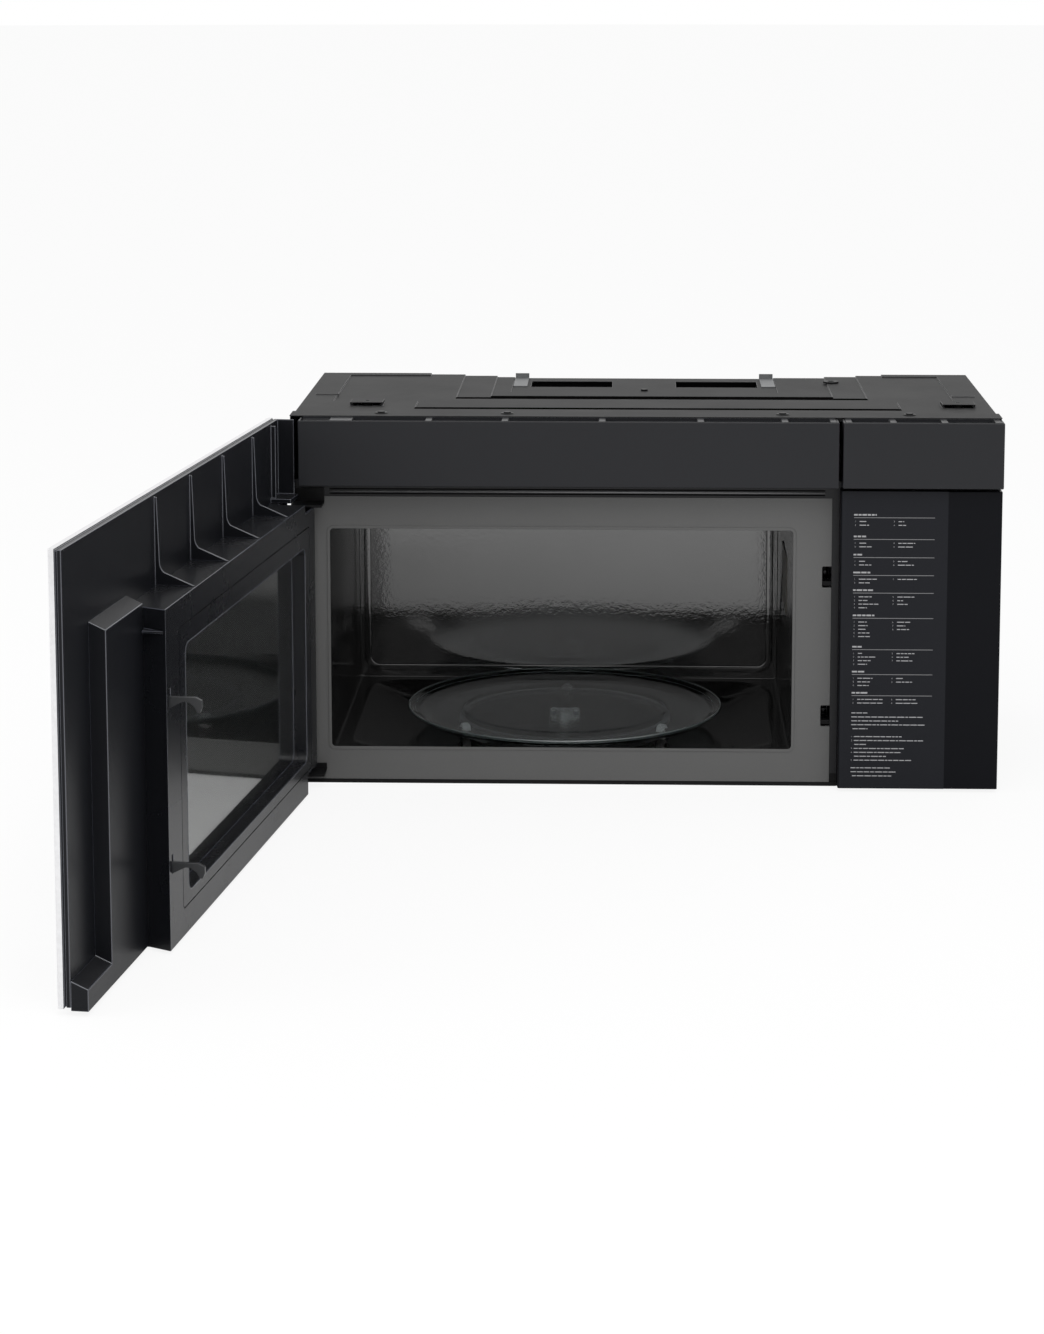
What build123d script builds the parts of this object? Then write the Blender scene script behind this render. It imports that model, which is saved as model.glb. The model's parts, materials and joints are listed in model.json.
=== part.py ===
"""Over the range microwave with its full-width door swung open.

Millimetres. X runs to the right, Y to the wall behind, Z up. The origin is the centre of
the rear face, the face that hangs on the wall. Most heights are written above the bottom
of the body. The door is drawn closed and then turned about its hinge pins.
"""

import math
import os

from build123d import *

# Body
body_width = 757
body_height = 403
body_depth = 372  # from the wall to the face of the cavity's front plate
sheet = 1
running_gap = 0.3  # between pieces that move past each other
seat_gap = 0.5  # round a piece that is dropped into its place

# Top of the wrap
wrap_overhang = 5  # the wrap reaches this far in front of the front plate
flange_depth = 32
top_step = 4  # fall of the top behind its front flange
nest_drop = 1.5  # fall of each nested step round the blower outlet
nest_limits = ((-251, 279, 285), (-211, 249, 194), (-173, 212, 172))  # left, right, depth
pad_inner = (-208, 246)  # inner edges of the two sunken pads
pad_margins = (33.5, 35.5)  # from the body's sides to the pads
pad_depth = 235
short_bead_length = 26
short_bead_width = 7
bolt_spots = (-0.806, 0.906)  # of the half width
bolt_setback = 110  # of the cabinet bolts, from the front plate
bolt_hole_radius = 2.5
bolt_nut_radius = 6
bolt_nut_height = 6
bridge_width = 36
bridge_depth = 26
bridge_rise = 4
screw_spots = (-282, -147, 147, 282)
screw_setback = 14
screw_radius = 4
screw_head = 2

# Cavity
cavity_width = 496
cavity_left_margin = 41.5
cavity_setback = 12  # from the wall to the cavity's back
cavity_floor_height = 21
cavity_corner = 4
sill_height = 40.4
head_height = 35.1  # of the front plate above the opening
mouth_lip = 3  # the raised border of the opening
mouth_rise = 0.8
bead_margin = 5
bead_width = 8
bead_rise = 1.5
bead_round = 1.2
bead_corner = 10
bead_bottom = 42
bead_drop = 11.9  # from the cavity's top
ledge_height = 13  # of the floor's ledge above the sunken floor
ledge_side = 17  # from the cavity's walls to the well
ledge_front = 26
ledge_back = 14
well_slope_side = 44  # run of the well's sloping walls
well_slope_depth = 17
well_corner = 40
port_width = 84
port_height = 50
port_drop = 111.9  # from the cavity's top to the port's bottom
mica_overlap = 8
mica_thickness = 0.6

# Front plate and trims
plate_thickness = 1.2
plate_bottom = 4.3
plate_drop = 15.5  # from the band's bottom to the plate's top
plate_right_margin = 41.3  # from the opening to the plate's right edge
plate_flange = 22
strip_thickness = 2
slot_width = 10
slot_height = 23
lower_hook_height = 77.5
upper_hook_drop = 85.5  # from the front plate's top
slot_drop = 11.5  # from a hook's middle to the bottom of its slot
guide_gap = 7.7  # between the front plate and the guide panel
guide_depth = 22
guide_bottom = 3.5
guide_drop = 4.1  # from the band's bottom
label_width = 112
label_thickness = 0.5
moulding = 2.5  # wall of the plastic mouldings
band_left_margin = 11.5
band_depth = 31
band_height = 70.5
band_drop = 2  # from the body's top
band_split = 4.3
comb_drop = 4  # from the body's top
comb_lip = 2
comb_tooth = 7
comb_long_tooth = 24
comb_teeth = (-0.605, -0.391, -0.119, 0.156, 0.391, 0.526, 0.568, 0.692, 0.835)  # of the half width
comb_long_spot = -0.851
vent_slot = 7

# Door
door_offset = 1.5  # the door's middle lies to the right of the body's
door_bottom = 5.7
door_thickness = 50
door_gap = 2  # between the closed door's inner face and the front plate
door_open = 97.2  # angle of the stored pose
skin_rim = 5.3
panel_thickness = 11.3
window_left_margin = 62
window_width = 450
window_bottom = 55
window_corner = 12
window_thickness = 4
touch_gap = 9  # from the door's inner frame
touch_width = 138
touch_bottom = 36
touch_drop = 35  # from the door's top
frame_bottom = 2.4
frame_side_gap = 2  # between the inner frame and the guide panel
frame_flare = 10  # the frame's end wall leans out by this much
recess_left_margin = 46
recess_width = 473
recess_bottom = 39.3
recess_drop = 45  # from the frame's top
recess_corner = 10
recess_depth = 15
inner_glass_thickness = 3
glass_overlap = 6
screen_thickness = 1
choke_wall = 2.5
groove_margin = 20  # from the recess to the seam round it
groove_rise = 11.7  # the seam's own distance below the recess
groove_width = 1.2
groove_corner = 5
control_depth = 27  # from the door's front to the control cover's face
pocket_width = 71  # from the control cover to the door's free end
control_rise = 10  # above the frame's top
control_fall = 7  # of the sloping tops of the control cover and its foot
control_bottom = 4
foot_height = 26.5
clip_drop = 22  # of the end wall's clip, from the frame's top
fin_margins = (113.5, 234, 355, 477)  # from the door's left side
fin_thickness = 2.5
fin_reach = 38
fin_knee = (8, 12.5)  # reach and height where the sloping foot ends
fin_shoulder = (4.5, 23)  # reach and height where the upright part starts
fin_tip = 2.5
end_rib_margin = 32  # from the door's left side
end_rib_reach = 5
end_wall_reach = 29
end_ledge_reach = 33
end_ledge_width = 36
end_ledge_height = 5

# Hinge
hinge_inset = 6.5  # from the door's left side to the pins
hinge_setback = 18.4  # from the door's inner face to the pins
pin_radius = 3.5
pin_gap = 0.05
bush_wall = 1.5
bush_length = 12
hinge_notch = 36
upper_hinge_drop = 8  # from the frame's top
lower_hinge_height = 13.5
hinge_leg = 2.5
hinge_leg_width = 28
hinge_upright = 17
lower_notch_top = 24
boss_length = 14

# Latch
lever_thickness = 4
lever_inset = 2.7  # from the side of a latch slot
lever_travel = 6
arm_height = 10
hook_reach = 30
hook_drop = 4
hook_neck = 4.5  # height of the arm behind the hook's head
hook_head = 8
latch_board_depth = 46
lever_back = 11  # from the door's inner face to the lever's far side
lever_above_hook = 14
lever_below_hook = 16
spring_radius = 2.5
spring_length = 30
plunger_radius = 1.6
plunger_travel = 2.5
plunger_gap = 1
switch_length = 28
switch_height = 16
switch_width = 10

# Turntable
tray_gap = 2  # between the tray's rim and the cavity's walls
tray_height = 12
glass_thickness = 5
tray_flat = 150
track_radius = 127
roller_radius = 7
roller_width = 9
ring_radius = 120
ring_width = 7
ring_height = 5
axle_radius = 1.9
axle_gap = 0.1
coupler_radius = 9
wing_reach = 17
wing_width = 7
lug_radius = 3
shaft_radius = 3
shaft_gap = 0.05
motor_radius = 24
motor_height = 14

# Blower
blower_depth = 62  # of the blower's shaft, from the wall
wheel_clearance = 0.8  # between the scroll and the outlet plate
wheel_length = 84
wheel_start = 42  # from the middle of the body to the inner side of each wheel
blade_count = 28
blade_depth = 8
blade_thickness = 0.8
blade_pitch = 35
rim_width = 2
scroll_gap = 4
scroll_growth = 9
scroll_length = 96
scroll_start = 36
inlet_margin = 10  # from the wheel's rim to the air inlet
outlet_front = 77
outlet_back = 27
motor_margin = 16  # from the wheel's rim to the motor's side
blower_motor_length = 60
rotor_shaft_radius = 4
plate_half_width = 160
plate_front = 137
bracket_width = 16

# Base
filter_margin = 33.5  # from a filter to the body's side
filter_clearance = 8  # between the filters and the turntable's motor
filter_thickness = 9
filter_setback = 15
filter_inner = 45
filter_rim = 8
filter_lip = 4
deck_height = 14
lamp_length = 96
lamp_depth = 62
lamp_thickness = 3
lamp_margin = 148.5  # from a lamp's middle to the body's side
lamp_front = 72  # from the front plate to a lamp's middle
lamp_pin_radius = 1.5
lens_rim = 5
bulb_radius = 4.5
bulb_length = 24
socket_size = 12
bulb_rise = 8.5  # of a bulb's axis above its seat
intake_count = 9
intake_width = 3.5
intake_length = 40
intake_pitch = 12

# Electronics
guide_length = 30
guide_rise = 62
magnetron_width = 96
magnetron_depth = 86
magnetron_height = 86
fin_count = 6
core_width = 96
core_depth = 60
core_height = 84
can_radius = 17
can_width = 52
can_height = 92
fan_radius = 50
fan_blades = 7
fan_depth = 26
fan_margin = 116.5  # from the fan's middle to the body's side
fan_height = 176
fan_setback = 46
fan_shaft_radius = 3
board_width = 130
board_height = 140
board_thickness = 1.6
board_inset = 14
relay_width = 18
relay_pitch = 24
relay_height = 20
relay_depth = 15
sink_width = 30
sink_height = 50
sink_depth = 22
transformer_margin = 116.5  # from the transformer's middle to the body's side
transformer_setback = 84  # from the front plate
transformer_foot = 8
winding_overhang = 18
capacitor_margin = 142.5
capacitor_setback = 150  # from the wall
tab_spread = 12
tab_width = 6
tab_height = 10
display_bottom = 60
display_drop = 65  # from the control cover's top
display_inset = 8
display_width = 60
display_depth = 5
connector_width = 22
latch_margin = 34  # of the latch board beyond its hooks
latch_wall = 2
latch_side = 6
latch_reach = 12
catch_thickness = 5
oven_lamp_spot = 140  # from the cavity's middle
oven_lamp_setback = 60
lamp_gap = 4

# Rear
hook_slot_width = 32
hook_slot_height = 9
hook_slot_spot = 170
hook_slot_rise = 24
cord_hole_spot = 217
cord_hole_depth = 52
cord_hole_radius = 6

# Places that follow from the sizes above
base_drop = body_height / 2
left = -body_width / 2
right = body_width / 2
pad_limits = ((left + pad_margins[0], pad_inner[0]), (pad_inner[1], right - pad_margins[1]))
plate_y = -body_depth
band_top = body_height - band_drop
band_bottom = band_top - band_height
comb_top = body_height - comb_drop
plate_top = band_bottom - plate_drop
guide_top = band_bottom - guide_drop
bolt_depth = body_depth - bolt_setback
cavity_left = left + cavity_left_margin
cavity_right = cavity_left + cavity_width
cavity_depth = body_depth - cavity_setback
cavity_back = plate_y + cavity_depth
cavity_top = plate_top - head_height
bead_top = cavity_top - bead_drop
port_bottom = cavity_top - port_drop
hook_heights = (lower_hook_height, plate_top - upper_hook_drop)
plate_left = left + sheet
plate_right = cavity_right + plate_right_margin
guide_left = plate_right + guide_gap
tray_x = (cavity_left + cavity_right) / 2
tray_y = plate_y + cavity_depth / 2
tray_radius = cavity_depth / 2 - tray_gap
fan_middle = right - fan_margin
transformer_spot = right - transformer_margin
capacitor_spot = right - capacitor_margin
lamp_middle = right - lamp_margin
lamp_setback = body_depth - lamp_front
filter_length = right - filter_inner - filter_margin
filter_depth = -tray_y - filter_setback - motor_radius - filter_clearance
roller_height = cavity_floor_height + roller_radius + running_gap
tray_height_low = roller_height + roller_radius + running_gap
band_front = plate_y - band_depth
main_top = body_height - top_step
outlet_level = main_top - nest_drop * len(nest_limits)
blower_space = outlet_level - cavity_top - 4 * sheet
wheel_radius = (blower_space - scroll_growth) / 2 - scroll_gap - wheel_clearance
inlet_radius = wheel_radius - inlet_margin
blower_motor_radius = wheel_radius - motor_margin
slot_left = plate_right - slot_width
lever_left = slot_left + lever_inset
split_left = (left + band_left_margin, guide_left - 1 - band_split / 2)
split_right = (guide_left - 1 + band_split / 2, right)
door_left = left + door_offset
fin_spots = [door_left + margin for margin in fin_margins]
end_rib_spot = door_left + end_rib_margin
door_right = right + door_offset
control_right = door_right - pocket_width
door_back = plate_y - door_gap
door_front = door_back - door_thickness
panel_back = door_front + panel_thickness
door_top = band_top
frame_top = plate_top
frame_right = guide_left - frame_side_gap
frame_root = frame_right - frame_flare
touch_left = frame_right + touch_gap
upper_hinge_height = frame_top - upper_hinge_drop
recess_left = door_left + recess_left_margin
recess_right = recess_left + recess_width
recess_top = frame_top - recess_drop
window_height = recess_top - window_bottom
touch_height = door_top - touch_drop - touch_bottom
glass_face = door_back - recess_depth
glass_back = glass_face - inner_glass_thickness
screen_back = glass_back - running_gap - screen_thickness
control_face = door_front + control_depth
control_top = frame_top + control_rise
hinge_x = door_left + hinge_inset
hinge_y = door_back - hinge_setback
bush_radius = pin_radius + pin_gap + bush_wall


def block(x, y, z):
    """A box between two limits on each axis."""
    middle = Pos((x[0] + x[1]) / 2, (y[0] + y[1]) / 2, (z[0] + z[1]) / 2 - base_drop)
    return middle * Box(x[1] - x[0], y[1] - y[0], z[1] - z[0])


def rod_x(x, y, z, radius):
    middle = Pos((x[0] + x[1]) / 2, y, z - base_drop)
    return middle * Rot(0, 90, 0) * Cylinder(radius, x[1] - x[0])


def rod_y(x, y, z, radius):
    middle = Pos(x, (y[0] + y[1]) / 2, z - base_drop)
    return middle * Rot(90, 0, 0) * Cylinder(radius, y[1] - y[0])


def rod_z(x, y, z, radius):
    middle = Pos(x, y, (z[0] + z[1]) / 2 - base_drop)
    return middle * Cylinder(radius, z[1] - z[0])


def pane(x, y, z, radius):
    """An upright slab whose four corners are rounded, seen from the front."""
    outline = RectangleRounded(x[1] - x[0], z[1] - z[0], radius)
    middle = Pos((x[0] + x[1]) / 2, (y[0] + y[1]) / 2, (z[0] + z[1]) / 2 - base_drop)
    return middle * Rot(90, 0, 0) * extrude(outline, (y[1] - y[0]) / 2, both=True)


def prism_x(points, x):
    """A side outline, drawn as points of depth and height, run along X."""
    outline = make_face(Polyline([(y, z - base_drop) for y, z in points], close=True))
    return Pos(x[0], 0, 0) * extrude(Plane.YZ * outline, x[1] - x[0])


def swing(closed):
    """Turns a piece of the closed door to the stored open pose."""
    about_pin = Pos(hinge_x, hinge_y, 0) * Rot(0, 0, -door_open) * Pos(-hinge_x, -hinge_y, 0)
    return about_pin * closed


# Wrap


def body_form(inset):
    """The outside of the body with its stepped top, drawn in all round by an inset."""
    front = plate_y - wrap_overhang
    joggle = front + flange_depth
    high = body_height - inset
    low = main_top - inset
    outline = [
        (front - inset, -inset),
        (front - inset, high),
        (joggle, high),
        (joggle + top_step, low),
        (inset, low),
        (inset, -inset),
    ]
    form = prism_x(outline, (left + inset, right - inset))
    for number, (x_low, x_high, depth) in enumerate(nest_limits, start=1):
        level = low - nest_drop * number
        form -= block((x_low - inset, x_high + inset), (-depth - inset, 9), (level, high + 9))
    for x_low, x_high in pad_limits:
        level = low - nest_drop
        reach = (-pad_depth - inset, -bracket_width + inset)
        form -= block((x_low - inset, x_high + inset), reach, (level, high + 9))
    return form


def bolt_bridge(x):
    """A raised bridge with a weld nut, for a bolt that comes down through the cabinet."""
    high = main_top + bridge_rise
    depth = (-bolt_depth - bridge_depth / 2, -bolt_depth + bridge_depth / 2)
    half = bridge_width / 2
    bridge = block((x - half, x + half), depth, (main_top - sheet, high))
    inside = half - 2 * sheet
    bridge -= block((x - inside, x + inside), depth, (main_top - sheet, high - sheet))
    low = high - sheet - bolt_nut_height
    bridge += rod_z(x, -bolt_depth, (low, high - sheet), bolt_nut_radius)
    return bridge


def bolt_window(x):
    half = bridge_width / 2 - 2 * sheet
    depth = (-bolt_depth - bridge_depth / 2, -bolt_depth + bridge_depth / 2)
    return block((x - half, x + half), depth, (main_top - 2 * sheet, main_top + sheet))


def outer_wrap():
    wrap = body_form(0) - body_form(sheet)
    wrap -= block((left - 1, right + 1), (2 * plate_y, plate_y), (-1, body_height - sheet))
    half = plate_half_width - 8
    wrap -= block((-half, half), (-plate_front + 8, 1), (outlet_level - 9, body_height))
    for share in bolt_spots:
        x = share * right
        wrap -= bolt_window(x)
        wrap += bolt_bridge(x)
        wrap -= rod_z(x, -bolt_depth, (main_top - 20, body_height + 9), bolt_hole_radius)
    bead_middle = -187
    for side in (-1, 1):
        outer = side * (right - 9)
        inner = outer - side * short_bead_length
        bead_depth = (bead_middle - short_bead_width / 2, bead_middle + short_bead_width / 2)
        wrap += block(sorted((outer, inner)), bead_depth, (main_top - sheet / 2, main_top + 1))
    for x in screw_spots:
        hole = rod_z(x, plate_y + screw_setback, (comb_top, body_height + 1), screw_radius / 2)
        wrap -= hole
    wrap -= rod_z(cord_hole_spot, -cord_hole_depth, (outlet_level - 9, body_height), cord_hole_radius)
    return wrap


def top_screws():
    """Pan head screws along the front flange, and one in the outlet plate."""
    screws = []
    for x in screw_spots:
        y = plate_y + screw_setback
        head = rod_z(x, y, (body_height, body_height + screw_head), screw_radius)
        screws.append(head + rod_z(x, y, (comb_top, body_height), screw_radius / 2))
    plate_level = outlet_level - sheet
    y = (-plate_front - outlet_front) / 2
    head = rod_z(0, y, (plate_level, plate_level + screw_head), screw_radius)
    screws.append(head + rod_z(0, y, (plate_level - sheet, plate_level), screw_radius / 2))
    return Compound(children=screws)


def cord_bushing():
    """The bushing that a supply cord would leave through."""
    level = outlet_level if cord_hole_spot < nest_limits[-1][1] else outlet_level + nest_drop
    flange = rod_z(cord_hole_spot, -cord_hole_depth, (level, level + 2), cord_hole_radius + 3)
    body = rod_z(cord_hole_spot, -cord_hole_depth, (level - 9, level), cord_hole_radius)
    bore = rod_z(cord_hole_spot, -cord_hole_depth, (level - 10, level + 3), cord_hole_radius - 2)
    return flange + body - bore


def rear_panel():
    panel = block((left + sheet, right - sheet), (-sheet, 0), (0, outlet_level - sheet))
    for side in (-1, 1):
        x = side * hook_slot_spot
        width = (x - hook_slot_width / 2, x + hook_slot_width / 2)
        rise = (hook_slot_rise, hook_slot_rise + hook_slot_height)
        panel -= block(width, (-2 * sheet, sheet), rise)
    return panel


def base_pan():
    """Bottom sheet with its upturned edges, filter and lamp openings and rails."""
    near = plate_y + plate_thickness
    pan = block((left + sheet, right - sheet), (near, -sheet), (0, deck_height))
    inside = (left + 2 * sheet, right - 2 * sheet)
    pan -= block(inside, (near + sheet, -2 * sheet), (sheet, deck_height + 1))
    pan += block((left + sheet, guide_left), (plate_y, near + sheet), (0, plate_bottom))
    for side in (-1, 1):
        near = side * (filter_inner + filter_lip)
        far = side * (filter_inner + filter_length - filter_lip)
        depth = (-filter_setback - filter_depth + filter_lip, -filter_setback - filter_lip)
        pan -= block(sorted((near, far)), depth, (-1, 2 * sheet))
        pan += filter_rails(side)
        pan -= lamp_opening(side)
        pan += lamp_ears(side)
    for number in range(intake_count):
        x = guide_left + 20 + intake_pitch * number
        y = plate_y + 40
        slot = block((x, x + intake_width), (y, y + intake_length), (-1, 2 * sheet))
        pan -= slot
    return pan


def filter_rails(side):
    """Two angle rails along X that a grease filter slides in."""
    x = sorted((side * filter_inner, side * (filter_inner + filter_length)))
    top = sheet + filter_thickness + running_gap
    back = -filter_setback + running_gap
    front = -filter_setback - filter_depth - running_gap
    rail = block(x, (back, back + sheet), (sheet, top + sheet))
    rail += block(x, (back - filter_lip, back + sheet), (top, top + sheet))
    rail += block(x, (front - sheet, front), (sheet, top + sheet))
    rail += block(x, (front - sheet, front + filter_lip), (top, top + sheet))
    return rail


def grease_filter(side):
    """An aluminium frame round a thin mesh pad, with a finger tab."""
    x = sorted((side * filter_inner, side * (filter_inner + filter_length)))
    depth = (-filter_setback - filter_depth, -filter_setback)
    rise = (sheet + running_gap / 3, sheet + filter_thickness)
    pad = block(x, depth, rise)
    inner_x = (x[0] + filter_rim, x[1] - filter_rim)
    inner_depth = (depth[0] + filter_rim, depth[1] - filter_rim)
    pad -= block(inner_x, inner_depth, (0, rise[0] + 2))
    pad -= block(inner_x, inner_depth, (rise[1] - 2, rise[1] + 1))
    tab_x = side * (filter_inner + 30)
    pad += block((tab_x - 9, tab_x + 9), (depth[0] + filter_rim, depth[0] + 14), (rise[0], rise[0] + 2))
    return pad


def lamp_opening(side):
    x = (side * lamp_middle - lamp_length / 2 - seat_gap, side * lamp_middle + lamp_length / 2 + seat_gap)
    y = (-lamp_setback - lamp_depth / 2 - seat_gap, -lamp_setback + lamp_depth / 2 + 3)
    return block(x, y, (-1, 2 * sheet))


def lamp_pin_place():
    """Depth and height of a lamp cover's hinge line."""
    return -lamp_setback + lamp_depth / 2 - 2, 1.5 * lamp_thickness


def lamp_ears(side):
    """Ears on the base pan with holes for a lamp cover's stub pins."""
    y, z = lamp_pin_place()
    ears = None
    for end in (-1, 1):
        near = side * lamp_middle + end * (lamp_length / 2 + seat_gap)
        far = near + end * 2
        ear = block(sorted((near, far)), (y - 5, y + 5), (0, z + 4))
        ears = ear if ears is None else ears + ear
    bore = lamp_pin_radius + pin_gap
    return ears - rod_x((side * lamp_middle - lamp_length, side * lamp_middle + lamp_length), y, z, bore)


def lamp_cover(side):
    """A framed lens that drops open about stub pins at its rear edge."""
    y, z = lamp_pin_place()
    half = lamp_length / 2
    middle = side * lamp_middle
    depth = (-lamp_setback - lamp_depth / 2, -lamp_setback + lamp_depth / 2)
    cover = block((middle - half, middle + half), (depth[0], y), (0, lamp_thickness))
    inner = (middle - half + lens_rim, middle + half - lens_rim)
    cover -= block(inner, (depth[0] + lens_rim, y - lens_rim), (lamp_thickness / 2, lamp_thickness + 1))
    cover += rod_x((middle - half, middle + half), y, z, lamp_thickness)
    cover -= block((middle - half - 1, middle + half + 1), (y - 9, y + 9), (-9, 0))
    reach = half + seat_gap + 1.5
    cover += rod_x((middle - reach, middle + reach), y, z, lamp_pin_radius)
    return cover


def lamp_bulb(x, y, z):
    """A small capsule bulb in its ceramic socket, lying along X on its seat."""
    half = socket_size / 2
    socket = block((x, x + socket_size), (y - half, y + half), (z, z + socket_size))
    bulb = rod_x((x + socket_size, x + socket_size + bulb_length), y, z + bulb_rise, bulb_radius)
    tip = bulb.edges().filter_by(GeomType.CIRCLE).sort_by(Axis.X)[-1]
    return socket + chamfer(tip, bulb_radius / 2)


def lamp_bulbs():
    """Three alike: two behind the lamp covers, one over the cavity."""
    lamps = []
    for side in (-1, 1):
        x = side * lamp_middle - lamp_length / 2 - socket_size - lamp_gap
        lamps.append(lamp_bulb(x, -lamp_setback, sheet))
    lamps.append(lamp_bulb(tray_x - oven_lamp_spot, plate_y + oven_lamp_setback, cavity_top + sheet))
    return Compound(children=lamps)


# Cavity


def well(wall):
    """The floor's sunken well, a rounded rectangle that narrows downward, grown by a wall."""
    x = (cavity_left + ledge_side, cavity_right - ledge_side)
    y = (plate_y + ledge_front, cavity_back - ledge_back)
    middle = Pos((x[0] + x[1]) / 2, (y[0] + y[1]) / 2, 0)
    low = cavity_floor_height - wall - base_drop
    high = cavity_floor_height + ledge_height - wall - base_drop
    width = x[1] - x[0] + 2 * wall
    length = y[1] - y[0] + 2 * wall
    mouth = middle * Pos(0, 0, high) * RectangleRounded(width, length, well_corner)
    inner_width = width - 2 * well_slope_side
    inner_length = length - 2 * well_slope_depth
    inner_corner = well_corner - well_slope_depth
    bottom = middle * Pos(0, 0, low) * RectangleRounded(inner_width, inner_length, inner_corner)
    return loft([bottom, mouth])


def cavity_shell():
    """Five-walled oven cavity with a pressed back, a sunken floor and a feed port."""
    ledge = cavity_floor_height + ledge_height
    inside = ((cavity_left, cavity_right), (plate_y, cavity_back), (ledge, cavity_top))
    outside = (
        (cavity_left - sheet, cavity_right + sheet),
        (plate_y + plate_thickness, cavity_back + sheet),
        (ledge - sheet, cavity_top + sheet),
    )
    shell = pane(*outside, cavity_corner + sheet) + well(sheet)
    shell -= pane(*inside, cavity_corner)
    shell -= well(0)
    bead_x = (cavity_left + bead_margin, cavity_right - bead_margin)
    bead_y = (cavity_back - bead_rise, cavity_back + sheet / 2)
    bead = pane(bead_x, bead_y, (bead_bottom, bead_top), bead_corner + bead_width)
    bead -= pane(
        (bead_x[0] + bead_width, bead_x[1] - bead_width),
        (bead_y[0] - 1, bead_y[1] + 1),
        (bead_bottom + bead_width, bead_top - bead_width),
        bead_corner,
    )
    shell += fillet(bead.faces().sort_by(Axis.Y)[0].edges(), bead_round)
    port = (port_bottom, port_bottom + port_height)
    port_y = (tray_y - port_width / 2, tray_y + port_width / 2)
    shell -= block((cavity_right - 1, cavity_right + 2), port_y, port)
    shell -= rod_z(tray_x, tray_y, (0, cavity_floor_height + 1), shaft_radius + 1)
    return shell


def front_plate():
    """Face of the cavity with its opening, two latch slots in its right edge and a folded top."""
    depth = (plate_y, plate_y + plate_thickness)
    plate = block((plate_left, plate_right), depth, (plate_bottom, plate_top))
    opening = (plate_y - 1, plate_y + 3)
    lip = pane(
        (cavity_left - mouth_lip, cavity_right + mouth_lip),
        (plate_y - mouth_rise, plate_y + plate_thickness),
        (sill_height - mouth_lip, cavity_top + mouth_lip),
        cavity_corner + mouth_lip,
    )
    plate += lip
    plate -= pane((cavity_left, cavity_right), opening, (sill_height, cavity_top), cavity_corner)
    for height in hook_heights:
        low = height - slot_drop
        slot_x = (slot_left, plate_right + slot_width)
        plate -= pane(slot_x, opening, (low, low + slot_height), 1.5)
    top = (plate_top - plate_thickness, plate_top)
    plate += block((plate_left, plate_right), (plate_y, plate_y + plate_flange), top)
    return plate


def gap_strip():
    """Dark strip that closes the gaps beside and above the front plate."""
    near = plate_y + plate_thickness
    depth = (near, near + strip_thickness)
    strip = block((plate_right, guide_left), depth, (deck_height, plate_top))
    strip += block((plate_left, right - sheet), depth, (plate_top, band_bottom + moulding))
    return strip


def guide_panel():
    """Moulded cover of the electronics, a shallow pan with a recess for its label."""
    outer_x = (guide_left, right)
    front = plate_y - guide_depth
    panel = block(outer_x, (front, plate_y), (guide_bottom, guide_top))
    upright = panel.edges().filter_by(Axis.Z).sort_by(Axis.Y)[:2]
    panel = fillet(upright, 1.5)
    inner_x = (guide_left + moulding, right - moulding)
    inner_z = (guide_bottom + moulding, guide_top - moulding)
    panel -= block(inner_x, (front + moulding, plate_y + 1), inner_z)
    label = (guide_left + 1.5, guide_left + 1.5 + label_width)
    panel -= block(label, (front - 1, front + label_thickness), (guide_bottom, guide_top))
    return panel


def guide_label():
    front = plate_y - guide_depth
    label = (guide_left + 1.5, guide_left + 1.5 + label_width)
    return block(label, (front, front + label_thickness), (guide_bottom, guide_top))


def vent_band(x):
    """One length of the band below the top vents: a face with a lower return."""
    band = block(x, (band_front, plate_y), (band_bottom, band_top))
    face = band.edges().filter_by(Axis.Z).sort_by(Axis.Y)[:2]
    band = fillet(face, 1)
    inner_x = (x[0] + moulding, x[1] - moulding)
    inner_y = (band_front + moulding, plate_y + 1)
    band -= block(inner_x, inner_y, (band_bottom + moulding, band_top + 1))
    return band


def vent_comb():
    """Slotted rail over the band; its teeth brace the band against the wrap."""
    x = (left + band_left_margin + moulding, right - moulding)
    front = band_front + moulding
    back = plate_y - wrap_overhang + flange_depth - 4
    middle = plate_y - wrap_overhang
    split = (split_left[1] - moulding, split_right[0] + moulding)
    comb = block(x, (front, back), (comb_top - comb_lip, comb_top))
    comb += block(x, (middle, back), (comb_top, body_height - sheet))
    slot_depth = (middle - vent_slot - 1, middle - 1)
    spots = [(comb_long_spot * right, comb_long_tooth)]
    spots += [(share * right, comb_tooth) for share in comb_teeth]
    spots.append((x[1] - comb_tooth / 2, comb_tooth))
    for (near, near_width), (far, far_width) in zip(spots, spots[1:]):
        slot = (near + near_width / 2, far - far_width / 2)
        comb -= block(slot, slot_depth, (comb_top - comb_lip - 1, comb_top + 1))
    for spot, width in spots:
        tooth = (spot - width / 2, spot + width / 2)
        comb += block(tooth, (front, middle), (comb_top, max(band_top, comb_top + comb_lip)))
    comb -= block(split, (front - 1, plate_y), (comb_top - comb_lip - 1, body_height - sheet))
    for spot in screw_spots:
        comb -= rod_z(spot, plate_y + screw_setback, (comb_top, body_height), screw_radius / 2)
    return comb


def charcoal_filter():
    """Framed odour filter that stands behind the vents on the front plate's fold."""
    x = (left + 40, guide_left - 20)
    filter_z = (plate_top, comb_top - comb_lip)
    pad = block(x, (plate_y + 8, plate_y + 20), filter_z)
    inner = (x[0] + 8, x[1] - 8)
    for depth in ((plate_y + 7, plate_y + 10), (plate_y + 18, plate_y + 21)):
        pad -= block(inner, depth, (filter_z[0] + 8, filter_z[1] - 8))
    return pad


# Hinge


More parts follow.
